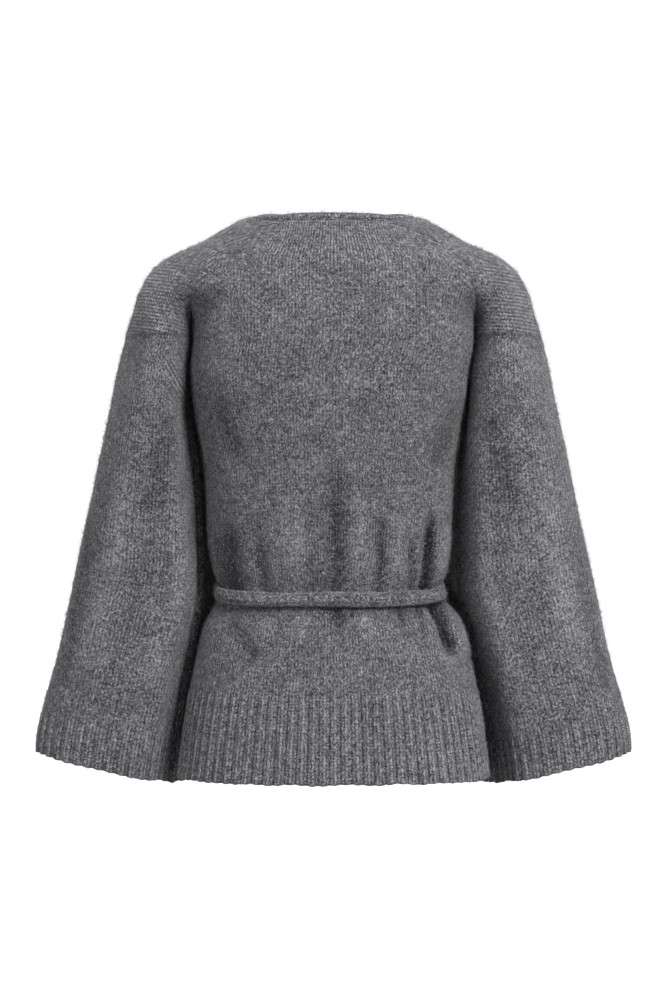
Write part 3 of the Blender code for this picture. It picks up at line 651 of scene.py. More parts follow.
def add_node(
    tree: bpy.types.NodeTree, kind: str, settings: dict[str, Any], inputs: dict[Any, Any]
) -> bpy.types.Node:
    """Adds one shader node.

    Args:
        tree: The material's node tree.
        kind: The node's type name, after its ShaderNode.
        settings: The node's own properties.
        inputs: For each input a value, another node's output socket or a node, for its first output.

    Returns:
        The new node.
    """
    node = tree.nodes.new(f"ShaderNode{kind}")
    for name, value in settings.items():
        setattr(node, name, value)
    for key, value in inputs.items():
        source = value.outputs[0] if isinstance(value, bpy.types.Node) else value
        if isinstance(source, bpy.types.NodeSocket):
            tree.links.new(source, node.inputs[key])
        else:
            node.inputs[key].default_value = source
    return node


def start_material(name: str, constants: dict[str, Any]) -> tuple[bpy.types.Material, bpy.types.Node]:
    """Starts a material.

    Args:
        name: The material's name.
        constants: The values of its shader's own inputs.

    Returns:
        The material and its shader.
    """
    material = bpy.data.materials.new(name)
    material.use_nodes = True
    shader = material.node_tree.nodes["Principled BSDF"]
    for key, value in constants.items():
        shader.inputs[key].default_value = value
    return material, shader


def set_stops(ramp: bpy.types.Node, stops: tuple[tuple[float, str], ...]) -> None:
    """Gives a colour ramp its stops, each a position and a colour."""
    elements = ramp.color_ramp.elements
    while len(elements) < len(stops):
        elements.new(0.5)
    for element, (position, colour) in zip(elements, stops):
        element.position = position
        element.color = linear(colour)


@dataclass(frozen=True)
class BrushedWoolKnit:
    """Stockinette knitted from a melange wool yarn and brushed up.

    The yarn is carded from white, mid grey and near-black wool, so single fibres and small tufts
    show light and dark. The brushing lays fibres over the stitches in every direction, most of
    them along the columns, and leaves the columns of legs only faintly seen.
    """

    name: str
    dark: str = "#141417"
    deep: str = "#2a2a2e"
    middle: str = "#49494e"
    light: str = "#727277"
    pale: str = "#c8c8cd"
    # A shift of the whole tone; the neckband's darker copy uses it as painted shade.
    lift: float = 0.0
    wale_mm: float = 3.8
    course_mm: float = 3.2
    # A wool fibre is about 0.03 mm thick, too fine to show here, so a streak stands for a lock of them.
    lock_mm: float = 0.58
    lock_length: float = 5.0
    # Each layer of locks: the degrees that it lies turned by, and its weight in the tone.
    lock_layers: tuple[tuple[float, float], ...] = ((12, 0.26), (-58, 0.25), (52, 0.25), (-18, 0.24))
    # Tufts and clouds of lighter and darker wool: the size of each in mm, and its weight in the tone.
    patches: tuple[tuple[float, float], ...] = ((5, 0.10), (26, 0.045))
    stitch_depth_mm: float = 1.0
    stitch_relief: float = 0.3
    lock_relief: float = 2.2
    ridge_relief: float = 0.5
    leg_slant: float = 1.3
    leg_swell: float = 0.22
    row_bend: float = 0.7
    # Painted shade of the stitches and the shoulder ridges: their crests are painted lighter and their
    # grooves darker.
    stitch_painted_shade: float = 0.03
    clear_stitch_painted_shade: float = 0.045
    ridge_painted_shade: float = 0.028
    # Painted shade: the cloth is painted darker between two ribs and at the foot of a crease, and lighter
    # on rib crowns and ridges.
    painted_shade_weight: float = 0.085
    roughness: float = 0.95
    sheen: float = 0.2

    def stitch(
        self, tree: bpy.types.NodeTree, out: bpy.types.Node, course: bpy.types.NodeSocket
    ) -> bpy.types.Node:
        """One stitch's rise: its column stands round, and the column's legs lean apart in a V."""
        turn = add_node(tree, "Math", {"operation": "MULTIPLY"}, {0: out, 1: math.pi})
        leg = add_node(tree, "Math", {"operation": "COSINE"}, {0: turn})
        slanted = {0: out, 1: self.leg_slant, 2: course}
        lean = add_node(tree, "Math", {"operation": "MULTIPLY_ADD"}, slanted)
        angle = add_node(tree, "Math", {"operation": "MULTIPLY"}, {0: lean, 1: 2 * math.pi})
        wave = add_node(tree, "Math", {"operation": "SINE"}, {0: angle})
        swell = {0: wave, 1: self.leg_swell, 2: 1 - self.leg_swell}
        bead = add_node(tree, "Math", {"operation": "MULTIPLY_ADD"}, swell)
        return add_node(tree, "Math", {"operation": "MULTIPLY"}, {0: leg, 1: bead})

    def ridge(self, tree: bpy.types.NodeTree, out: bpy.types.Node) -> bpy.types.Node:
        """The rows of stitches, which show instead over the shoulders, as fine ridges."""
        row = add_node(tree, "Attribute", {"attribute_name": "row"}, {}).outputs["Fac"]
        ridged = add_node(tree, "Attribute", {"attribute_name": "ridged"}, {}).outputs["Fac"]
        bent = add_node(tree, "Math", {"operation": "MULTIPLY_ADD"}, {0: out, 1: self.row_bend, 2: row})
        angle = add_node(tree, "Math", {"operation": "MULTIPLY"}, {0: bent, 1: 2 * math.pi})
        wave = add_node(tree, "Math", {"operation": "SINE"}, {0: angle})
        return add_node(tree, "Math", {"operation": "MULTIPLY"}, {0: wave, 1: ridged})

    def locks(self, tree: bpy.types.NodeTree, knit: bpy.types.Node) -> bpy.types.Node:
        """Locks of brushed fibre: each layer is a noise drawn out along its own direction."""
        tone: Any = 0.0
        across = 1 / self.lock_mm
        for angle, weight in self.lock_layers:
            flat = add_node(tree, "Mapping", {"vector_type": "POINT"}, {
                "Vector": knit, "Scale": (self.wale_mm, self.course_mm, 1.0),
                "Rotation": (0.0, 0.0, math.radians(angle)),
            })
            drawn = add_node(tree, "Mapping", {"vector_type": "POINT"}, {
                "Vector": flat, "Scale": (across, across / self.lock_length, 1.0),
            })
            noise = add_node(tree, "TexNoise", {"noise_dimensions": "2D"}, {
                "Vector": drawn, "Scale": 1.0, "Detail": 3.0, "Roughness": 0.75, "Distortion": 0.7,
            })
            tone = add_node(tree, "Math", {"operation": "MULTIPLY_ADD"}, {0: noise, 1: weight, 2: tone})
        return tone

    def patched(self, tree: bpy.types.NodeTree, tone: bpy.types.Node) -> bpy.types.Node:
        """A tone with the patches of lighter and darker wool added to it."""
        where = add_node(tree, "TexCoord", {}, {}).outputs["Object"]
        for size, weight in self.patches:
            noise = add_node(tree, "TexNoise", {}, {
                "Vector": where, "Scale": 1000 / size, "Detail": 2.0, "Distortion": 0.8,
            })
            level = add_node(tree, "Math", {"operation": "SUBTRACT"}, {0: noise, 1: 0.5})
            tone = add_node(tree, "Math", {"operation": "MULTIPLY_ADD"}, {0: level, 1: weight, 2: tone})
        return tone

    def make(self) -> bpy.types.Material:
        """Makes the material.

        Returns:
            A material that reads its stitches and its locks from the mesh's knit coordinates.
        """
        material, shader = start_material(self.name, {
            "Roughness": self.roughness, "Specular IOR Level": 0.25,
            "Sheen Weight": self.sheen, "Sheen Roughness": 0.5,
        })
        tree = material.node_tree
        knit = add_node(tree, "UVMap", {"uv_map": "knit"}, {})
        place = add_node(tree, "SeparateXYZ", {}, {0: knit})
        wale = add_node(tree, "Math", {"operation": "FRACT"}, {0: place})
        middle = add_node(tree, "Math", {"operation": "SUBTRACT"}, {0: wale, 1: 0.5})
        out = add_node(tree, "Math", {"operation": "ABSOLUTE"}, {0: middle})
        stitch = self.stitch(tree, out, place.outputs[1])
        ridge = self.ridge(tree, out)
        fibres = self.locks(tree, knit)
        clear = add_node(tree, "Attribute", {"attribute_name": "clear"}, {}).outputs["Fac"]
        # The mesh's painted shade: darker in rib hollows, creases and narrowing marks, lighter on rib
        # crowns and ridges.
        painted_shade = add_node(tree, "Attribute", {"attribute_name": "painted_shade"}, {}).outputs["Fac"]
        centred = add_node(tree, "Math", {"operation": "SUBTRACT"}, {0: stitch, 1: 0.5})
        shown = {0: clear, 1: self.clear_stitch_painted_shade, 2: self.stitch_painted_shade}
        show = add_node(tree, "Math", {"operation": "MULTIPLY_ADD"}, shown)
        tone = self.patched(tree, fibres)
        # Painted shade: crests of the stitches and ridges are painted lighter and their grooves darker,
        # and the mesh's painted shade is taken off the tone.
        for source, weight in ((centred, show), (ridge, self.ridge_painted_shade), (painted_shade, -self.painted_shade_weight)):
            tone = add_node(tree, "Math", {"operation": "MULTIPLY_ADD"}, {0: source, 1: weight, 2: tone})
        level = add_node(tree, "Math", {"operation": "ADD"}, {0: tone, 1: self.lift})
        ramp = add_node(tree, "ValToRGB", {}, {0: level})
        # The noises add up to near one half everywhere, so the stops lie close on both sides of it.
        set_stops(ramp, (
            (0.432, self.dark), (0.472, self.deep), (0.50, self.middle),
            (0.526, self.light), (0.572, self.pale),
        ))
        tree.links.new(ramp.outputs[0], shader.inputs["Base Color"])
        relief = {0: clear, 1: 1 - self.stitch_relief, 2: self.stitch_relief}
        relief = add_node(tree, "Math", {"operation": "MULTIPLY_ADD"}, relief)
        height = add_node(tree, "Math", {"operation": "MULTIPLY"}, {0: stitch, 1: relief})
        for source, weight in ((ridge, self.ridge_relief), (fibres, self.lock_relief)):
            raised = {0: source, 1: weight, 2: height}
            height = add_node(tree, "Math", {"operation": "MULTIPLY_ADD"}, raised)
        bumped = {"Height": height, "Distance": self.stitch_depth_mm * MM, "Strength": 0.8}
        tree.links.new(add_node(tree, "Bump", {}, bumped).outputs[0], shader.inputs["Normal"])
        return material


@dataclass(frozen=True)
class LooseWoolFibre:
    """Single wool fibres brushed up out of the yarn: fine, matt, each its own shade of grey."""

    name: str = "loose_wool_fibre"
    dark: str = "#2e2e33"
    middle: str = "#66666b"
    light: str = "#b2b2b8"
    roughness: float = 0.9

    def make(self) -> bpy.types.Material:
        """Makes the material, which reads each fibre's shade from its knit coordinates."""
        constants = {"Roughness": self.roughness, "Specular IOR Level": 0.2}
        material, shader = start_material(self.name, constants)
        tree = material.node_tree
        shade = add_node(tree, "UVMap", {"uv_map": "knit"}, {})
        place = add_node(tree, "SeparateXYZ", {}, {0: shade})
        ramp = add_node(tree, "ValToRGB", {}, {0: place})
        set_stops(ramp, ((0.0, self.dark), (0.55, self.middle), (1.0, self.light)))
        tree.links.new(ramp.outputs[0], shader.inputs["Base Color"])
        return material


def riding_piece(name: str, mesh: bpy.types.Mesh, material: bpy.types.Material) -> bpy.types.Object:
    """Makes an object of a mesh and a material, riding on the garment's one body."""
    mesh.materials.append(material)
    piece = bpy.data.objects.new(name, mesh)
    bpy.context.scene.collection.objects.link(piece)
    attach(piece, "root")
    return piece


def stand_for(piece: bpy.types.Object, node: str) -> bpy.types.Object:
    """Hides a node's solid, so that the piece stands in its place."""
    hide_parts(node)
    return piece


class ClothMesh:
    """Collects the points, faces and knit coordinates of one closed wall of cloth."""

    def __init__(self) -> None:
        """Starts with nothing in it."""
        self.points: list[Array] = []
        self.count = 0
        self.faces: list[tuple[int, ...]] = []
        self.corners: list[tuple[tuple[float, float], ...]] = []
        self.marks: list[Array] = []

    def add_rows(
        self, rows: list[Array], knit: list[Array], closed_from: int, marks: list[Array] | None = None
    ) -> list[list[int]]:
        """Adds rows of points and the faces between them.

        Args:
            rows: The points of each row, all with as many columns.
            knit: The wale and course of each point.
            closed_from: The first row whose last point is its first one again.
            marks: How much painted shade each point has, how clear its columns and its ridged rows are,
                and the number of its ridged row.

        Returns:
            The number of each row's points.
        """
        numbers = []
        for i, row in enumerate(rows):
            kept = row[:-1] if i >= closed_from else row
            ids = list(range(self.count, self.count + len(kept)))
            self.points.append(kept)
            self.marks.append(np.zeros((len(kept), 4)) if marks is None else marks[i][: len(kept)])
            self.count += len(kept)
            numbers.append(ids + ids[:1] if i >= closed_from else ids)
        for i in range(len(rows) - 1):
            above, below = numbers[i], numbers[i + 1]
            k_above, k_below = knit[i].tolist(), knit[i + 1].tolist()
            for c in range(len(above) - 1):
                self.faces.append((above[c], below[c], below[c + 1], above[c + 1]))
                self.corners.append((k_above[c], k_below[c], k_below[c + 1], k_above[c + 1]))
        return numbers

    def zip_rows(self, upper: list[int], lower: list[int], knit: Array) -> None:
        """Fills between two lines of points, which may have different numbers of them."""
        i = j = 0
        last_i, last_j = len(upper) - 1, len(lower) - 1
        while i < last_i or j < last_j:
            here = tuple(knit[min(i, len(knit) - 1)].tolist())
            if j == last_j or (i < last_i and (i + 0.5) * last_j <= (j + 0.5) * last_i):
                self.faces.append((upper[i], lower[j], upper[i + 1]))
                i += 1
            else:
                self.faces.append((upper[i], lower[j], lower[j + 1]))
                j += 1
            self.corners.append((here, here, here))

    def make(self, name: str, material: bpy.types.Material) -> bpy.types.Object:
        """Makes the object.

        Args:
            name: The piece's name.
            material: What it is made of.

        Returns:
            The object, closed, smooth and facing out.
        """
        mesh = bpy.data.meshes.new(name)
        mesh.from_pydata((np.concatenate(self.points) * MM).tolist(), [], self.faces)
        layer = mesh.uv_layers.new(name="knit")
        flat = [value for corner in self.corners for pair in corner for value in pair]
        layer.data.foreach_set("uv", np.array(flat, np.float32))
        marks = np.concatenate(self.marks).astype(np.float32)
        # The first mark is painted shade: darker in rib hollows and creases, lighter on ribs and ridges.
        for mark, values in zip(("painted_shade", "clear", "ridged", "row"), marks.T):
            mesh.attributes.new(mark, "FLOAT", "POINT").data.foreach_set("value", values.copy())
        shape = bmesh.new()
        shape.from_mesh(mesh)
        bmesh.ops.recalc_face_normals(shape, faces=shape.faces)
        shape.to_mesh(mesh)
        shape.free()
        mesh.shade_smooth()
        return riding_piece(name, mesh, material)


@dataclass
class Surface:
    """The outer points of a finished piece and its normals, for what is scattered or laid on it."""

    rows: list[Array] = field(default_factory=list)
    normals: list[Array] = field(default_factory=list)
    drops: list[float] = field(default_factory=list)


class KnitRow(NamedTuple):
    """One row of a wall: its outer and inner points, its normals, its knit coordinates and its marks."""

    outer: Array
    inner: Array
    normal: Array
    knit: Array
    marks: Array


def edge_roll(distance: Array, depth: float = 1.3, reach: float = 2.6) -> Array:
    """How far cloth sinks towards an edge or a seam, at each distance from it."""
    return -depth * np.exp(-((distance / reach) ** 2))


def hem_wave(length: Array, lift: Array, from_hem: float, seed: float) -> Array:
    """How far a ribbed hem hangs lower at each point, as each rib pulls the edge its own way."""
    near = smooth(1 - from_hem / 24)
    return near * (1.3 * unevenness(length * 1.7, length * 0.6, seed) + 0.45 * lift)


def row_lengths(points: Array) -> Array:
    """How far each point of a row lies from its first, along the row."""
    return np.concatenate([[0.0], np.cumsum(np.linalg.norm(np.diff(points, axis=0), axis=1))])


def row_drops(stops: tuple[tuple[float, float], ...]) -> list[float]:
    """Drops from stop to stop, each stretch evenly split near its own spacing."""
    drops = [stops[0][0]]
    for (start, _), (end, spacing) in zip(stops, stops[1:]):
        count = max(1, round((end - start) / spacing))
        drops += list(np.linspace(start, end, count + 1)[1:])
    return drops


def seam_depth(drop: float) -> float:
    """How deep the cloth sinks at a seam: deepest over the shoulders, and little below them."""
    return 1.7 - 1.3 * smooth((drop - 55) / 30)


@dataclass(kw_only=True)
class RibbedWall:
    """What the panels and the sleeves share: a knitted wall that ends in ribs at its hem or cuff."""

    columns: int
    hem_drop: float
    rib_depth: float
    rib_pitch: float
    rib_height: float
    rib_sink: float
    rib_shade: float
    rib_lead: float = 9.0
    # A rib's crown is broader than the trough beside it, and the first one starts part of a rib in.
    rib_crown: float = 0.7
    rib_start: float = 0.375
    wall: float = 3.0
    seam_gap: float = 0.3
    course_mm: float = 3.2
    # The last rows turn in to the edge: how far in, as a share of the rounding, and how far down.
    edge_round: float = 1.4
    edge_turn: tuple[tuple[float, float], ...] = ((0.15, 1.0), (0.5, 1.75), (1.1, 2.0))
    edge_turn_height: float = 2.0
    surface: Surface = field(default_factory=Surface)

    def row(self, drop: float, ribs: int) -> KnitRow:
        """One row of the wall, which each kind of wall works out for itself."""
        raise NotImplementedError

    def rib_fade(self, drop: float) -> float:
        """0 above the ribs, 1 on them."""
        return smooth((drop - self.hem_drop + self.rib_depth) / self.rib_lead)

    def rib_wave(self, ribs: int, drop: float) -> Array:
        """How far the ribs lift the outer side along one row."""
        across = np.linspace(0, ribs, self.columns + 1)
        wave = (0.5 + 0.5 * np.cos(2 * math.pi * (across - self.rib_start))) ** self.rib_crown
        return self.rib_fade(drop) * (wave * (self.rib_height + self.rib_sink) - self.rib_sink)

    def rib_painted_shade(self, wave: Array, drop: float) -> Array:
        """Painted shade and light of the ribs: how much lighter the rib crowns are painted than the
        hollows between them.
        """
        return -self.rib_shade * self.rib_fade(drop) * wave / (self.rib_height + self.rib_sink)

    def hang(self, outer: Array, inner: Array, lower: Array, is_open: bool) -> None:
        """Lowers a row by its hem's unevenness, and draws its open ends in by half a seam's gap."""
        for points in (outer, inner):
            points[:, 2] -= lower
            if is_open:
                points[0] += unit(points[1] - points[0]) * self.seam_gap / 2
                points[-1] += unit(points[-2] - points[-1]) * self.seam_gap / 2

    def rows_to_edge(self, drops: list[float], ribs: int) -> list[KnitRow]:
        """Every row at the given drops, then those that turn in to the lower edge."""
        rows = [self.row(drop, ribs) for drop in drops]
        for sink, down in self.edge_turn:
            row = self.row(self.hem_drop - self.edge_turn_height + down, ribs)
            rows.append(row._replace(outer=row.outer - row.normal * sink * self.edge_round))
        return rows

    def close(self, rows: list[KnitRow], opened: int) -> ClothMesh:
        """Closes the wall between the outer and the inner sides of its rows.

        Args:
            rows: The rows from the top down.
            opened: How many of them are open at both ends; each one after them is a closed round.

        Returns:
            The wall's mesh, with half as many rows and columns on its inner side.
        """
        mesh = ClothMesh()
        knits = [row.knit for row in rows]
        last = len(rows) - 1
        outer_ids = mesh.add_rows([row.outer for row in rows], knits, opened, [row.marks for row in rows])
        chosen = sorted({*range(0, len(rows), 2), min(opened, last), last})
        inner_opened = sum(i < opened for i in chosen)
        inner = [rows[i].inner[::2] for i in chosen]
        inner_ids = mesh.add_rows(inner, [knits[i][::2] for i in chosen], inner_opened)
        mesh.zip_rows(inner_ids[0], outer_ids[0], knits[0])
        mesh.zip_rows(outer_ids[-1], inner_ids[-1], knits[-1])
        edge_knit = np.array([knit[0] for knit in knits])
        for end in (0, -1):
            outer_edge = [ids[end] for ids in outer_ids[: opened + 1]]
            mesh.zip_rows(outer_edge, [ids[end] for ids in inner_ids[: inner_opened + 1]], edge_knit)
        return mesh

    def keep_surface(self, rows: list[KnitRow], drops: list[float]) -> None:
        """Keeps the outer side of the rows, for what lies on it."""
        drops = drops + [self.hem_drop] * len(self.edge_turn)
        self.surface = Surface([row.outer for row in rows], [row.normal for row in rows], drops)


@dataclass
class BodyPanel(RibbedWall):
    """The back or a front: one knitted panel, ribbed at its hem."""

    cut: Cut
    finish: BrushedWoolKnit
    hem_drop: float = field(default=588.0, kw_only=True)
    rib_depth: float = field(default=95.0, kw_only=True)
    rib_pitch: float = field(default=11.5, kw_only=True)
    rib_height: float = field(default=1.2, kw_only=True)
    rib_sink: float = field(default=1.1, kw_only=True)
    rib_shade: float = field(default=0.36, kw_only=True)
    wales_per_rib: int = 3
    # A front covers this much of the two shares that a whole row has.
    front_cover: float = 1.5
    # At the back neck the columns lie closer, show clearly, and fan out below it.
    fan_gather: float = 0.3
    fan_show: float = 0.75
    fan_drop: float = 34.0
    fan_length: float = 35.0
    fan_half_width: float = 85.0
    # Where stitches were narrowed away beside the seam, each leaves a short slanting mark, drawn only as
    # painted shade and light in slanting bands.
    narrowing_pitch: float = 8.5
    narrowing_inset: float = 7.0
    narrowing_half_width: float = 4.0
    narrowing_end: float = 78.0
    narrowing_painted_shade: float = 0.55
    # How deep a crease must be for its full painted shade, in mm, and how far a ridge may be painted
    # lighter.
    crease_full: float = 7.0
    crease_shades: tuple[float, float] = (-1.1, 0.15)

    @property
    def is_back(self) -> bool:
        """Whether this is the back."""
        return self.cut is Cut.BACK

    def shares(self, drop: float, columns: int) -> Array:
        """The places of a row's points round the body."""
        if self.is_back:
            return np.linspace(-1, 1, columns + 1)
        side = Side.LEFT if self.cut is Cut.FRONT_LEFT else Side.RIGHT
        edge = FORM.front_share(FORM.front_edge(side, drop), drop)
        first, last = (edge, 1) if side is Side.LEFT else (-1, edge)
        return np.linspace(first, last, columns + 1)

    def knit_at(self, points: Array, share: Array, drop: float, ribs: int) -> Array:
        """The wale and course of each point of a row: three wales to each of the hem's ribs."""
        length = row_lengths(points)
        wales = self.wales_per_rib * ribs
        if self.is_back:
            across = share * wales / 2
        else:
            across = (share - 1 if self.cut is Cut.FRONT_LEFT else share + 1) * wales / self.front_cover
        if drop < FORM.underarm_drop:
            width = row_lengths(FORM.torso(self.is_back, FORM.underarm_drop, share))[-1]
            if self.is_back:
                gather = 1 + self.fan_gather * (1 - smooth((drop - FORM.neck_back_drop) / 45))
                across = (length - length[-1] / 2) * gather * wales / width
            elif self.cut is Cut.FRONT_LEFT:
                across = (length - length[-1]) * wales / width / self.front_cover * (1 - share[0])
            else:
                across = length * wales / width / self.front_cover * (share[-1] + 1)
        return np.column_stack([across, np.full(len(across), -drop / self.course_mm)])

    def marks_at(self, x: Array, length: Array, lift: Array, wave: Array, drop: float) -> Array:
        """How much painted shade each point of a row has, from its ribs, creases and narrowing marks, and
        how clear its columns and rows of stitches are.
        """
        painted_shade = self.rib_painted_shade(wave, drop) - np.clip(lift / self.crease_full, *self.crease_shades)
        clear = 0.5 * self.rib_fade(drop) + np.zeros(len(x))
        if self.is_back:
            fan = self.fan_show * (1 - smooth((drop - self.fan_drop) / self.fan_length))
            clear = clear + fan * np.exp(-((x / self.fan_half_width) ** 4))
            fade = 1 - smooth((drop - self.narrowing_end) / 12)
            for inwards in (length, length[-1] - length):
                off = (inwards - self.narrowing_inset) / self.narrowing_half_width
                slant = np.sin(2 * math.pi * (drop / self.narrowing_pitch + inwards / 9))
                painted_shade = painted_shade + self.narrowing_painted_shade * np.exp(-(off**2)) * fade * slant
        return np.column_stack([painted_shade, clear, np.zeros((len(x), 2))])

    def row(self, drop: float, ribs: int) -> KnitRow:
        """One row of the panel.

        Args:
            drop: The row's drop.
            ribs: How many ribs its hem has.

        Returns:
            The row.
        """
        share = self.shares(drop, self.columns)
        base = FORM.torso(self.is_back, drop, share)
        normal = FORM.torso_normals(self.is_back, drop, share)
        lift = FORM.torso_lift(self.cut, base)
        wave = self.rib_wave(ribs, drop)
        length = row_lengths(base)
        level = np.full(len(length), drop)
        swell = 0.45 * unevenness(length - length[-1] / 2, level, 2.0 + len(self.cut.value))
        ease = smooth(length / 12) * smooth((length[-1] - length) / 12)
        # A front's free edge sinks 1 mm under the neckband; every other edge is a seam.
        first = 1.0 if self.cut is Cut.FRONT_LEFT else seam_depth(drop)
        last = 1.0 if self.cut is Cut.FRONT_RIGHT else seam_depth(drop)
        rolled = edge_roll(length, first) + edge_roll(length[-1] - length, last)
        outer = base + normal * (lift + wave + swell * ease + rolled)[:, None]
        inner = base + normal * (lift - self.wall)[:, None]
        self.hang(outer, inner, hem_wave(length, wave, self.hem_drop - drop, 3.0), True)
        creased = FORM.creases(self.cut, base[:, 0], base[:, 1], drop)
        marks = self.marks_at(base[:, 0], length, creased, wave, drop)
        return KnitRow(outer, inner, normal, self.knit_at(base, share, drop, ribs), marks)

    def build(self) -> bpy.types.Object:
        """Builds and dresses the panel.

        Returns:
            The piece, in place of its node.
        """
        top = FORM.neck_back_drop if self.is_back else FORM.neck_front_drop
        rib_top = self.hem_drop - self.rib_depth
        drops = row_drops((
            (top, 0), (60, 2.2), (135, 3.6), (rib_top, 4.2), (rib_top + 12, 2.4),
            (self.hem_drop - self.edge_turn_height, 6),
        ))
        hem = row_lengths(FORM.torso(self.is_back, self.hem_drop, self.shares(self.hem_drop, 60)))[-1]
        rows = self.rows_to_edge(drops, round(hem / self.rib_pitch))
        self.keep_surface(rows, drops)
        piece = self.close(rows, len(rows)).make(f"{self.cut.value}_knit", self.finish.make())
        return stand_for(piece, self.cut.value)


@dataclass
class RaglanSleeve(RibbedWall):
    """A wide sleeve: open rows over the shoulder, then closed rounds down to the ribbed cuff."""

    side: Side
    finish: BrushedWoolKnit
    columns: int = field(default=224, kw_only=True)
    hem_drop: float = field(default=FORM.cuff_drop, kw_only=True)
    rib_depth: float = field(default=50.0, kw_only=True)
    rib_pitch: float = field(default=13.0, kw_only=True)
    rib_height: float = field(default=1.0, kw_only=True)
    rib_sink: float = field(default=1.0, kw_only=True)
    rib_shade: float = field(default=0.26, kw_only=True)
    wales_per_rib: int = 3
    ridges_start: float = 42.0
    ridges_end: float = 129.0
    ridge_pitch: float = 3.8
    left_slope: float = 0.2
    right_slope: float = -0.07
    # A line of painted shade closes the ridged rows.
    ridges_end_painted_shade: float = 0.4
    ridges_end_width: float = 2.5
    crease_full: float = 6.0
    crease_shades: tuple[float, float] = (-0.9, 0.2)

    @property
    def node(self) -> str:
        """The name of the node that this sleeve stands for."""
        return "sleeve_left" if self.side is Side.LEFT else "sleeve_right"

    def marks_at(self, share: Array, x: Array, creased: Array, wave: Array, drop: float) -> Array:
        """How much painted shade each point has, from its ribs, creases and the line that ends the
        ridges, how clear its columns and its ridged rows are, and its row.
        """
        painted_shade = self.rib_painted_shade(wave, drop) - np.clip(creased / self.crease_full, *self.crease_shades)
        middle = np.sqrt(np.sin(math.pi * share))
        end = math.exp(-(((drop - self.ridges_end) / self.ridges_end_width) ** 2))
        painted_shade = painted_shade + self.ridges_end_painted_shade * middle * end
        slope = self.left_slope if self.side is Side.LEFT else self.right_slope
        row = (drop + slope * np.abs(x)) / self.ridge_pitch
        shown = smooth((drop - self.ridges_start) / 25) * (1 - smooth((drop - self.ridges_end + 4) / 4))
        ridged = middle * shown
        if self.side is Side.LEFT and drop > self.ridges_end:
            seam = ARM_SEAM
            ridged = fold_height((seam,), np.abs(x), drop) * (share < 0.5)
            lie = unit(np.array([seam.x_to - seam.x_from, seam.drop_to - seam.drop_from]))
            row = (np.abs(x) - seam.x_from) * lie[1] - (drop - seam.drop_from) * lie[0]
            row = row / self.ridge_pitch
        clear = 0.5 * self.rib_fade(drop) + np.zeros(len(share))
        return np.column_stack([painted_shade, clear, ridged, row])

    def row(self, drop: float, ribs: int) -> KnitRow:
        """One row of the sleeve.

        Args:
            drop: The row's drop.
            ribs: How many ribs the cuff has.

        Returns:
            The row.
        """
        share = np.linspace(0, 1, self.columns + 1)
        is_open = drop < FORM.underarm_drop
        place = share if is_open else share % 1.0
        base = FORM.sleeve(self.side, drop, place)
        normal = FORM.sleeve_normals(self.side, drop, place)
        length = row_lengths(base)
        girth = length[-1]
        creased, wave = fold_height(SLEEVE_FOLDS, share, drop, girth), self.rib_wave(ribs, drop)
        turn = np.sin(2 * math.pi * share)
        swell = 0.5 * unevenness(120 * turn, np.full(len(share), drop), 5.0 + self.side.value)
        lift = creased + wave + swell * smooth((drop - 60) / 60)
        if is_open:
            ends = smooth((FORM.underarm_drop - drop) / 8)
            seam = seam_depth(drop)
            lift += ends * (edge_roll(length, seam) + edge_roll(girth - length, seam))
        outer = base + normal * lift[:, None]
        inner = base - normal * self.wall
        self.hang(outer, inner, hem_wave(80 * turn, wave, self.hem_drop - drop, 4.0), is_open)
        wale = share * self.wales_per_rib * ribs
        if is_open:
            full = row_lengths(FORM.sleeve(self.side, FORM.underarm_drop, share % 1.0))[-1]
            wale = ((length - girth / 2) / full + 0.5) * self.wales_per_rib * ribs
        else:
            outer[-1], inner[-1] = outer[0], inner[0]
        knit = np.column_stack([wale, np.full(len(share), -drop / self.course_mm)])
        return KnitRow(outer, inner, normal, knit, self.marks_at(share, base[:, 0], creased, wave, drop))

    def top_rows(self, first: KnitRow) -> list[KnitRow]:
        """The sleeve's narrow upper end, from the neck's edge out to the first full row."""
        share = np.linspace(0, 1, self.columns + 1)
        edge = first.outer.copy()
        for k, inset in ((0, 1.0), (1, FORM.neck_top_inset)):
            edge[:, k] = np.interp(share, [0, 1], [first.outer[0][k], first.outer[-1][k]]) * inset
        edge[:, 2] = -FORM.neck_top_drop + FORM.neck_line_rise * np.sin(math.pi * share)
        up = np.tile([0.0, 0.0, 1.0], (self.columns + 1, 1))
        tops = [edge + (first.outer - edge) * step for step in (0.0, 0.34, 0.67)]
        return [KnitRow(top, top - up * self.wall, up, first.knit, first.marks) for top in tops]

    def build(self) -> bpy.types.Object:
        """Builds and dresses the sleeve.

        Returns:
            The piece, in place of its node.
        """
        rib_top = self.hem_drop - self.rib_depth
        drops = row_drops((
            (FORM.neck_top_drop, 0), (12, 1.0), (60, 1.8), (135, 3.0), (rib_top, 4.0),
            (rib_top + 12, 2.4), (self.hem_drop - self.edge_turn_height, 6),
        ))
        share = np.linspace(0, 1, 61)[:-1]
        cuff = row_lengths(FORM.sleeve(self.side, rib_top, share))[-1] * 61 / 60
        rows = self.rows_to_edge(drops, round(cuff / self.rib_pitch))
        tops = self.top_rows(rows[0])
        opened = len(tops) + sum(drop < FORM.underarm_drop - 1e-6 for drop in drops)
        rows = tops + rows
        self.keep_surface(rows, [FORM.neck_top_drop] * len(tops) + drops)
        piece = self.close(rows, opened).make(f"{self.node}_knit", self.finish.make())
        return stand_for(piece, self.node)


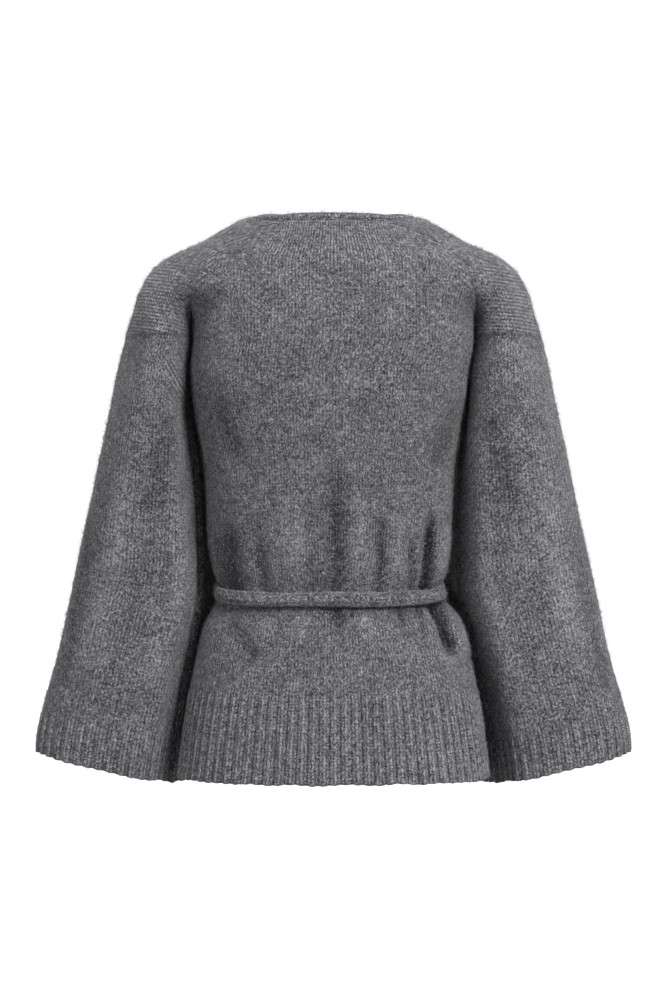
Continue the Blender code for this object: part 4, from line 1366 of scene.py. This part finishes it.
def resample(points: Array, spacing: float, *others: Array) -> list[Array]:
    """Points and what goes with them, evenly spaced along their line."""
    length = row_lengths(points)
    count = max(2, round(length[-1] / spacing) + 1)
    at = np.linspace(0, length[-1], count)
    return [
        np.column_stack([np.interp(at, length, values[:, k]) for k in range(3)])
        for values in (points, *others)
    ]


def soften(points: Array, times: int) -> Array:
    """A line with its small corners rounded and its ends kept."""
    points = points.copy()
    for _ in range(times):
        points[1:-1] = (points[:-2] + 2 * points[1:-1] + points[2:]) / 4
    return points


def stitch_relief(wale: Array, course: Array, slant: float = 1.0) -> Array:
    """How far a knitted surface stands up, from 0 to 1: two leaning legs to each wale and course."""
    out = np.abs(wale % 1.0 - 0.5)
    return np.sin(2 * math.pi * out) * (0.62 + 0.38 * np.sin(2 * math.pi * (course + slant * out)))


@dataclass
class KnittedTube:
    """A strip of knitting swept along a line: a flattened tube with its own stitches raised on it."""

    half_width: float
    half_thickness: float
    wales: int
    course: float
    relief: float
    around: int
    spacing: float
    squareness: float = 0.8
    # The relief's own mean, so that a tube keeps its stated thickness.
    mean_relief: float = 0.45
    offset: tuple[float, float] = (0.0, 0.0)
    end_taper: float = 4.0
    lumps: float = 0.0
    surface: Surface = field(default_factory=Surface)

    def build(self, name: str, finish: BrushedWoolKnit, path: Array, normals: Array) -> bpy.types.Object:
        """Sweeps the tube.

        Args:
            name: The piece's name.
            finish: What it is knitted from.
            path: The line it follows.
            normals: The direction of its flat side at each point of the path.

        Returns:
            The piece, closed at both ends.
        """
        path, normals = resample(path, self.spacing, normals)
        along = tangents(path)
        sideways = unit(np.cross(normals, along))
        normals = np.cross(along, sideways)
        length = row_lengths(path)
        angle = np.linspace(0, 2 * math.pi, self.around + 1)
        wide = np.sign(np.cos(angle)) * np.abs(np.cos(angle)) ** self.squareness
        deep = np.sign(np.sin(angle)) * np.abs(np.sin(angle)) ** self.squareness
        wale = np.linspace(0, self.wales, self.around + 1)
        rows, knits = [], []
        for i, point in enumerate(path):
            nearest = min(length[i], length[-1] - length[i])
            close = math.sqrt(max(0.02, 1 - (1 - min(1.0, nearest / self.end_taper)) ** 2))
            close *= 1 + self.lumps * float(unevenness(length[i] * 1.3, length[i] * 0.9, 4.0))
            course = np.full(len(wale), length[i] / self.course)
            raised = self.relief * (stitch_relief(wale, course) - self.mean_relief)
            w = self.offset[0] + (self.half_width + raised) * wide * close
            n = self.offset[1] + (self.half_thickness + raised) * deep * close
            rows.append(point + sideways[i] * w[:, None] + normals[i] * n[:, None])
            knits.append(np.column_stack([wale, np.full(len(wale), length[i] / self.course)]))
        mesh = ClothMesh()
        ids = mesh.add_rows(rows, knits, 0)
        for ring, knit in ((ids[0], knits[0]), (ids[-1], knits[-1])):
            mesh.faces.append(tuple(ring[:-1]))
            mesh.corners.append(tuple((float(u), float(v)) for u, v in knit[:-1]))
        self.surface = Surface(rows, [unit(row - point) for row, point in zip(rows, path)])
        return mesh.make(name, finish.make())


@dataclass
class RolledNeckband:
    """The narrow band knitted on along the neck and down both front edges, which rolls by itself."""

    finish: BrushedWoolKnit
    half_width: float = 4.85
    half_thickness: float = 2.5
    gap: float = 0.35
    overhang: float = 1.2
    surface: Surface = field(default_factory=Surface)

    def sleeve_edge(self, surface: Surface) -> list[tuple[Array, Array]]:
        """The neck edge of a sleeve, from its front seam over the shoulder to its back seam."""
        rows, normals, drops = surface.rows, surface.normals, surface.drops
        tops = sum(drop <= FORM.neck_top_drop for drop in drops)
        front = [i for i in range(tops, len(drops)) if drops[i] <= FORM.neck_front_drop]
        back = [i for i in range(tops, len(drops)) if drops[i] <= FORM.neck_back_drop]
        # Over the shoulder every sixth point will do, clear of both seams.
        over = slice(-20, 20, -6)
        line = [(rows[i][-1], normals[i][-1]) for i in front[::-1]]
        line += list(zip(rows[0][over], normals[0][over]))
        line += [(rows[i][0], normals[i][0]) for i in back]
        return line

    def build(self, surfaces: dict[str, Surface]) -> bpy.types.Object:
        """Builds the band along the edges of the finished pieces.

        Args:
            surfaces: The outer side of each panel and sleeve, by its node.

        Returns:
            The piece, in place of its node.
        """
        left, right, back = (surfaces[node] for node in ("front_left", "front_right", "back"))
        line = [(row[0], normal[0]) for row, normal in zip(left.rows[::-1], left.normals[::-1])]
        line += self.sleeve_edge(surfaces["sleeve_left"])
        line += list(zip(back.rows[0][::-4], back.normals[0][::-4]))
        line += self.sleeve_edge(surfaces["sleeve_right"])[::-1]
        line += [(row[-1], normal[-1]) for row, normal in zip(right.rows, right.normals)]
        points = np.array([point for point, _ in line])
        normals = np.array([normal for _, normal in line])
        # The pieces' edges turn sharply where they meet, and the band runs through in a soft line.
        points, normals = resample(points, 3.0, normals)
        points, normals = soften(points, 6), unit(soften(normals, 10))
        tube = KnittedTube(
            self.half_width, self.half_thickness, wales=6, course=3.6, relief=0.5, around=16, spacing=1.9,
            offset=(self.half_width + self.gap, -self.overhang), end_taper=1.5,
        )
        piece = tube.build("neckband_roll", self.finish, points, normals)
        self.surface = tube.surface
        return stand_for(piece, "neckband")


@dataclass
class TieBelt:
    """A narrow knitted belt: once round the waist, tied in front, with two free ends."""

    finish: BrushedWoolKnit
    half_width: float = 7.5
    half_thickness: float = 4.0
    stand_off: float = 2.0
    course: float = 5.2
    relief: float = 1.1
    side_sink: float = 3.0
    knot_x: float = 40.0
    knot_half: tuple[float, float, float] = (13.0, 9.0, 12.0)
    knot_inset: float = 0.3
    # The waist's two ends run this far into the knot.
    knot_overlap: float = 2.0
    turn_half_width: float = 5.6
    turn_half_thickness: float = 3.0
    # How far inside the knot's middle its turns face away from.
    turn_heart: float = 6.0
    end_half_width: float = 7.0
    end_half_thickness: float = 2.7
    end_below_knot: float = 3.4
    end_stand_off: float = 0.8
    sag: float = 1.2
    surfaces: dict[str, Surface] = field(default_factory=dict)

    def round_waist(self) -> bpy.types.Object:
        """The stretch round the waist, from one side of the knot to the other."""
        left = FORM.front_share(self.knot_x + self.knot_half[0] - self.knot_overlap, FORM.belt_drop)
        right = FORM.front_share(self.knot_x - self.knot_half[0] + self.knot_overlap, FORM.belt_drop)
        stops = [(False, share) for share in np.linspace(left, 1, 30)[:-1]]
        stops += [(True, share) for share in np.linspace(1, -1, 110)[:-1]]
        stops += [(False, share) for share in np.linspace(-1, right, 60)]
        off = self.stand_off + self.half_thickness
        # At the sides, under the arms, the belt sinks deepest into the cloth.
        sinks = [self.side_sink * smooth((abs(share) - 0.78) / 0.2) for _, share in stops]
        places = [FORM.on_waist(*stop, 0.0, off - sink) for stop, sink in zip(stops, sinks)]
        points = soften(np.array([point for point, _ in places]), 8)
        length = row_lengths(points)
        points[:, 2] += self.sag * unevenness(length * 0.8, length * 0.3, 1.3)
        normals = np.array([normal for _, normal in places])
        tube = KnittedTube(
            self.half_width, self.half_thickness, wales=6, course=self.course, relief=self.relief,
            around=42, spacing=1.3, lumps=0.1,
        )
        piece = tube.build("belt_waist_knit", self.finish, points, normals)
        self.surfaces["belt_waist"] = tube.surface
        return stand_for(piece, "belt_waist")

    def knot_frame(self) -> tuple[Array, Array, Array, Array]:
        """The knot's middle, and its directions across, outwards and up."""
        share = FORM.front_share(self.knot_x, FORM.belt_drop)
        centre, normal = FORM.on_waist(False, share, 0.0, self.knot_half[1] - self.knot_inset)
        across = unit(np.cross(np.array([0.0, 0.0, 1.0]), normal))
        return centre, across, normal, np.cross(normal, across)

    def knot(self) -> bpy.types.Object:
        """The knot: one turn of the belt lies over the other and holds it."""
        centre, across, normal, up = self.knot_frame()
        # Places along each turn, measured across, up and outwards from the knot's middle.
        turns = (
            ((-13, 1, -2), (-8, 3, 1), (-2, 4, 2), (4, 2, 2), (9, -1, 1), (13, -2, -2)),
            ((-7, 9, -6), (-7, 9, 1), (-4, 6, 6), (1, 0, 7.5), (5, -6, 6), (7, -9, 1), (7, -9, -6)),
            ((-11, -3, -4), (-9, -8, 0), (-3, -8.5, 2), (3, -7, 1), (7, -5, -3)),
        )
        pieces = []
        for i, turn in enumerate(turns):
            stops = np.array(turn, float)
            t = np.linspace(0, 1, len(stops))
            fine = np.linspace(0, 1, 30)
            local = soften(np.column_stack([np.interp(fine, t, stops[:, k]) for k in range(3)]), 8)
            path = centre + local @ np.array([across, up, normal])
            middle = centre - normal * self.turn_heart
            tube = KnittedTube(
                self.turn_half_width, self.turn_half_thickness, wales=5, course=self.course, relief=1.0,
                around=30, spacing=1.2, end_taper=3.0,
            )
            pieces.append(tube.build(f"knot_turn_{i}", self.finish, path, unit(path - middle)))
        bpy.ops.object.select_all(action="DESELECT")
        for piece in pieces:
            piece.select_set(True)
        bpy.context.view_layer.objects.active = pieces[0]
        bpy.ops.object.join()
        knot = pieces[0]
        knot.name = "belt_knot_tied"
        return stand_for(knot, "belt_knot")

    def free_end(self, node: str, x_top: float, x_foot: float, length: float) -> bpy.types.Object:
        """A free end, hanging from the knot down the lapped front.

        Args:
            node: The node it stands for.
            x_top: Where it leaves the knot, to the left of the knot's middle.
            x_foot: Where it ends, to the left of the knot's middle.
            length: How long it hangs.

        Returns:
            The piece.
        """
        places = []
        stand_off = self.end_half_thickness + self.end_stand_off
        for t in np.linspace(-0.04, 1, 60):
            below = self.knot_half[2] + self.end_below_knot + t * length
            x = self.knot_x + x_top + (x_foot - x_top) * smooth(t)
            share = FORM.front_share(x, FORM.belt_drop + below)
            places.append(FORM.on_waist(False, share, below, stand_off))
        points = np.array([point for point, _ in places])
        normals = np.array([normal for _, normal in places])
        tube = KnittedTube(
            self.end_half_width, self.end_half_thickness, wales=6, course=self.course, relief=0.9,
            around=36, spacing=1.3, end_taper=5.0,
        )
        piece = tube.build(f"{node}_knit", self.finish, points, normals)
        self.surfaces[node] = tube.surface
        return stand_for(piece, node)

    def build(self) -> dict[str, bpy.types.Object]:
        """Builds the whole belt: its waist, its knot and its two ends, each a piece of its own."""
        return {
            "belt_waist": self.round_waist(),
            "belt_knot": self.knot(),
            "belt_end_left": self.free_end("belt_end_left", 8, 24, 150),
            "belt_end_right": self.free_end("belt_end_right", -8, -22, 165),
        }


@dataclass
class LooseFuzz:
    """Loose fibres that stand and lie on a finished piece."""

    node: str
    surface: Surface
    count: int
    seed: int
    shortest: float = 2.6
    longest: float = 6.5
    # A wool fibre is about 0.03 mm thick; one ribbon stands for a wisp of them, so that it shows.
    width: float = 0.36
    # Most fibres lie nearly flat along or against the knitting, and a few stand up steeply.
    least_rise: float = 0.08
    most_rise: float = 1.1
    bend: float = 0.35

    def build(self, material: bpy.types.Material) -> bpy.types.Object:
        """Scatters the fibres.

        Args:
            material: What they are made of.

        Returns:
            One piece with every fibre in it.
        """
        chance = np.random.default_rng(self.seed)
        grid, out = np.array(self.surface.rows), np.array(self.surface.normals)
        a, b, c, d = grid[:-1, :-1], grid[:-1, 1:], grid[1:, 1:], grid[1:, :-1]
        area = np.linalg.norm(np.cross(c - a, d - b), axis=-1).ravel() / 2
        chosen = chance.choice(len(area), self.count, p=area / area.sum())
        i, j = np.divmod(chosen, grid.shape[1] - 1)
        s, t = chance.random((2, self.count, 1))
        root = (1 - s) * ((1 - t) * a[i, j] + t * b[i, j]) + s * ((1 - t) * d[i, j] + t * c[i, j])
        normal = unit(out[i, j] + 1e-6)
        down = unit(d[i, j] - a[i, j])
        side = np.cross(normal, down)
        turn = chance.normal(0, 1.0, (self.count, 1)) + math.pi * (chance.random((self.count, 1)) < 0.5)
        flat = down * np.cos(turn) + side * np.sin(turn)
        rise = self.least_rise + self.most_rise * chance.random((self.count, 1)) ** 2.0
        first = unit(flat + normal * rise)
        aside = side * np.cos(turn) - down * np.sin(turn)
        second = first + aside * chance.normal(0, self.bend, (self.count, 1)) - normal * self.bend * rise
        second = unit(second)
        length = self.shortest + (self.longest - self.shortest) * chance.random((self.count, 1)) ** 1.6
        start = root + normal * 0.15
        middle = start + first * length / 2
        tip = middle + second * length / 2
        half = unit(np.cross(first, normal + 0.5 * chance.normal(0, 1, (self.count, 3)))) * self.width / 2
        points = [start - half, start + half, middle + half * 0.8, middle - half * 0.8, tip]
        points = np.stack(points, axis=1).reshape(-1, 3) * MM
        # Each fibre has five points and two faces: a quad, and a triangle that ends in its tip.
        first_id = np.arange(self.count)[:, None] * 5
        corners = (first_id + np.array([[0, 1, 2, 3, 3, 2, 4]])).ravel()
        shade = np.repeat(chance.random(self.count), 7)
        mesh = bpy.data.meshes.new(f"{self.node}_fuzz")
        mesh.vertices.add(len(points))
        mesh.vertices.foreach_set("co", points.ravel())
        mesh.loops.add(len(corners))
        mesh.loops.foreach_set("vertex_index", corners)
        mesh.polygons.add(2 * self.count)
        starts = (np.arange(self.count)[:, None] * 7 + np.array([[0, 4]])).ravel()
        mesh.polygons.foreach_set("loop_start", starts)
        mesh.polygons.foreach_set("loop_total", np.tile([4, 3], self.count))
        layer = mesh.uv_layers.new(name="knit")
        layer.data.foreach_set("uv", np.column_stack([shade, shade]).ravel())
        mesh.update(calc_edges=True)
        piece = riding_piece(mesh.name, mesh, material)
        return piece


@dataclass(frozen=True)
class FlatCut:
    """The flat size of one knitted piece before it was sewn on and worn, in millimetres."""

    width: float
    length: float
    filled: float
    held: str
    rests_on: tuple[str, ...]

    def declare(self, piece: bpy.types.Object, on_it: list[bpy.types.Object]) -> None:
        """Is meant to say that a piece is a sheet of this cut, with the separate pieces on it, but does
        nothing.
        """


# A panel narrows to the neck, so it fills only a part of its width times its length.
FLAT_CUTS = {
    "back": FlatCut(455, 590, 0.80, "hung", ("sleeve_left_knit", "sleeve_right_knit")),
    "front_left": FlatCut(315, 600, 0.67, "hung", ("sleeve_left_knit",)),
    "front_right": FlatCut(315, 600, 0.67, "hung", ("sleeve_right_knit",)),
    "sleeve_left": FlatCut(440, 634, 0.76, "hung", ("back_knit",)),
    "sleeve_right": FlatCut(440, 634, 0.76, "hung", ("back_knit",)),
    "neckband": FlatCut(14, 1600, 1.0, "hung", ("back_knit", "front_left_knit", "front_right_knit")),
    "belt_waist": FlatCut(20, 740, 1.0, "draped", ("back_knit", "front_left_knit", "front_right_knit")),
    "belt_knot": FlatCut(16, 95, 1.0, "draped", ("front_right_knit",)),
    "belt_end_left": FlatCut(19, 150, 1.0, "hung", ("belt_knot_tied",)),
    "belt_end_right": FlatCut(19, 165, 1.0, "hung", ("belt_knot_tied",)),
}

FIBRE_COUNTS = {
    "back": 42000, "front_left": 20000, "front_right": 20000, "sleeve_left": 27000, "sleeve_right": 27000,
    "neckband": 5000, "belt_waist": 5000, "belt_end_left": 900, "belt_end_right": 900,
}


@dataclass(frozen=True)
class Studio:
    """The pale floor, the soft lights and the camera, which stands behind the wearer."""

    distance: float = 3.0
    height: float = -0.29925
    mm_per_pixel: float = 1.05
    image_height: int = 1000
    sensor: float = 36.0
    floor_height: float = -1.25
    floor_half: float = 16.0
    dome_radius: float = 20.0
    sky: float = 0.2

    def build(self) -> None:
        """Builds the whole studio."""
        world = bpy.data.worlds.new("studio_fill")
        bpy.context.scene.world = world
        world.use_nodes = True
        background = world.node_tree.nodes["Background"]
        background.inputs[0].default_value = (1, 1, 1, 1)
        background.inputs[1].default_value = self.sky
        self.floor()
        self.backdrop()
        self.light("key_from_upper_right", (-2.1, 3.1, 1.7), 1.5, 152.0)
        self.light("fill_from_left", (2.6, 2.4, 0.2), 1.2, 23.0)
        self.light("soft_from_above", (-0.3, 0.6, 2.2), 1.6, 44.0)
        self.light("front_soft_box", (1.6, -3.0, 1.2), 1.8, 110.0)
        camera = bpy.data.cameras.new("camera")
        camera.sensor_width = self.sensor
        camera.lens = self.sensor * self.distance / (self.image_height * self.mm_per_pixel * MM)
        camera.clip_end = 100.0
        holder = bpy.data.objects.new("camera", camera)
        holder.location = (0, self.distance, self.height)
        holder.rotation_euler = (math.pi / 2, 0, math.pi)
        bpy.context.scene.collection.objects.link(holder)
        bpy.context.scene.camera = holder
        bpy.context.scene.view_settings.view_transform = "Standard"

    def glowing(self, name: str, base: str, glow: float) -> bpy.types.Material:
        """A matt white that also glows, so that it stays evenly pale."""
        return start_material(name, {
            "Base Color": linear(base), "Roughness": 1.0, "Specular IOR Level": 0.0,
            "Emission Color": (1, 1, 1, 1), "Emission Strength": glow,
        })[0]

    def floor(self) -> None:
        """Lays the plain pale floor."""
        mesh = bpy.data.meshes.new("floor")
        size = self.floor_half
        corners = [(-size, -size), (size, -size), (size, size), (-size, size)]
        mesh.from_pydata([(x, y, self.floor_height) for x, y in corners], [], [(0, 1, 2, 3)])
        mesh.materials.append(self.glowing("matt_white_floor", "#f4f4f4", 1.0))
        floor = bpy.data.objects.new("floor", mesh)
        bpy.context.scene.collection.objects.link(floor)
        # Its glow shows but doesn't light the cloth from below.
        floor.visible_diffuse = False

    def backdrop(self) -> None:
        """Puts a white dome round the scene, which only shows and doesn't light anything."""
        shape = bmesh.new()
        bmesh.ops.create_icosphere(shape, subdivisions=4, radius=self.dome_radius)
        mesh = bpy.data.meshes.new("backdrop")
        shape.to_mesh(mesh)
        shape.free()
        mesh.materials.append(self.glowing("white_backdrop", "#000000", 1.0))
        dome = bpy.data.objects.new("backdrop", mesh)
        bpy.context.scene.collection.objects.link(dome)
        for ray in ("diffuse", "glossy", "transmission", "shadow"):
            setattr(dome, f"visible_{ray}", False)

    def light(self, name: str, place: tuple[float, float, float], size: float, power: float) -> None:
        """Hangs one soft square light, turned to the cardigan's middle."""
        lamp = bpy.data.lights.new(name, "AREA")
        lamp.size = size
        lamp.energy = power
        holder = bpy.data.objects.new(name, lamp)
        holder.location = place
        towards = Vector((0, 0, -0.3)) - Vector(place)
        holder.rotation_mode = "QUATERNION"
        holder.rotation_quaternion = towards.to_track_quat("-Z", "Y")
        bpy.context.scene.collection.objects.link(holder)


def main() -> None:
    """Builds and dresses every piece of the cardigan, then the studio."""
    logging.basicConfig(level=logging.INFO, format="%(message)s")
    cloth: dict[str, bpy.types.Object] = {}
    surfaces: dict[str, Surface] = {}
    for cut, columns in ((Cut.BACK, 272), (Cut.FRONT_LEFT, 200), (Cut.FRONT_RIGHT, 200)):
        panel = BodyPanel(cut, BrushedWoolKnit(f"brushed_wool_{cut.value}"), columns=columns)
        cloth[cut.value] = panel.build()
        surfaces[cut.value] = panel.surface
    for side in Side:
        sleeve = RaglanSleeve(side, BrushedWoolKnit(f"brushed_wool_sleeve_{side.name.lower()}"))
        cloth[sleeve.node] = sleeve.build()
        surfaces[sleeve.node] = sleeve.surface
    # The neckband's wool is a darker copy: painted shade that tones down the light on the band's rounded
    # top.
    band = RolledNeckband(BrushedWoolKnit("brushed_wool_neckband", lift=-0.008))
    cloth["neckband"] = band.build(surfaces)
    surfaces["neckband"] = band.surface
    belt = TieBelt(BrushedWoolKnit("brushed_wool_belt", stitch_painted_shade=0.02, wale_mm=7.7, course_mm=5.2))
    cloth |= belt.build()
    surfaces |= belt.surfaces
    fibre = LooseWoolFibre().make()
    fuzz: dict[str, bpy.types.Object] = {}
    for seed, (node, count) in enumerate(FIBRE_COUNTS.items()):
        fuzz[node] = LooseFuzz(node, surfaces[node], count, seed).build(fibre)
    for node, flat_cut in FLAT_CUTS.items():
        flat_cut.declare(cloth[node], [fuzz[node]] if node in fuzz else [])
    total = 0
    for piece in (*cloth.values(), *fuzz.values()):
        piece.data.calc_loop_triangles()
        count = len(piece.data.loop_triangles)
        total += count
        LOG.info("%s: %d triangles", piece.name, count)
    LOG.info("all: %d triangles", total)
    Studio().build()


if __name__ == "__main__":
    main()
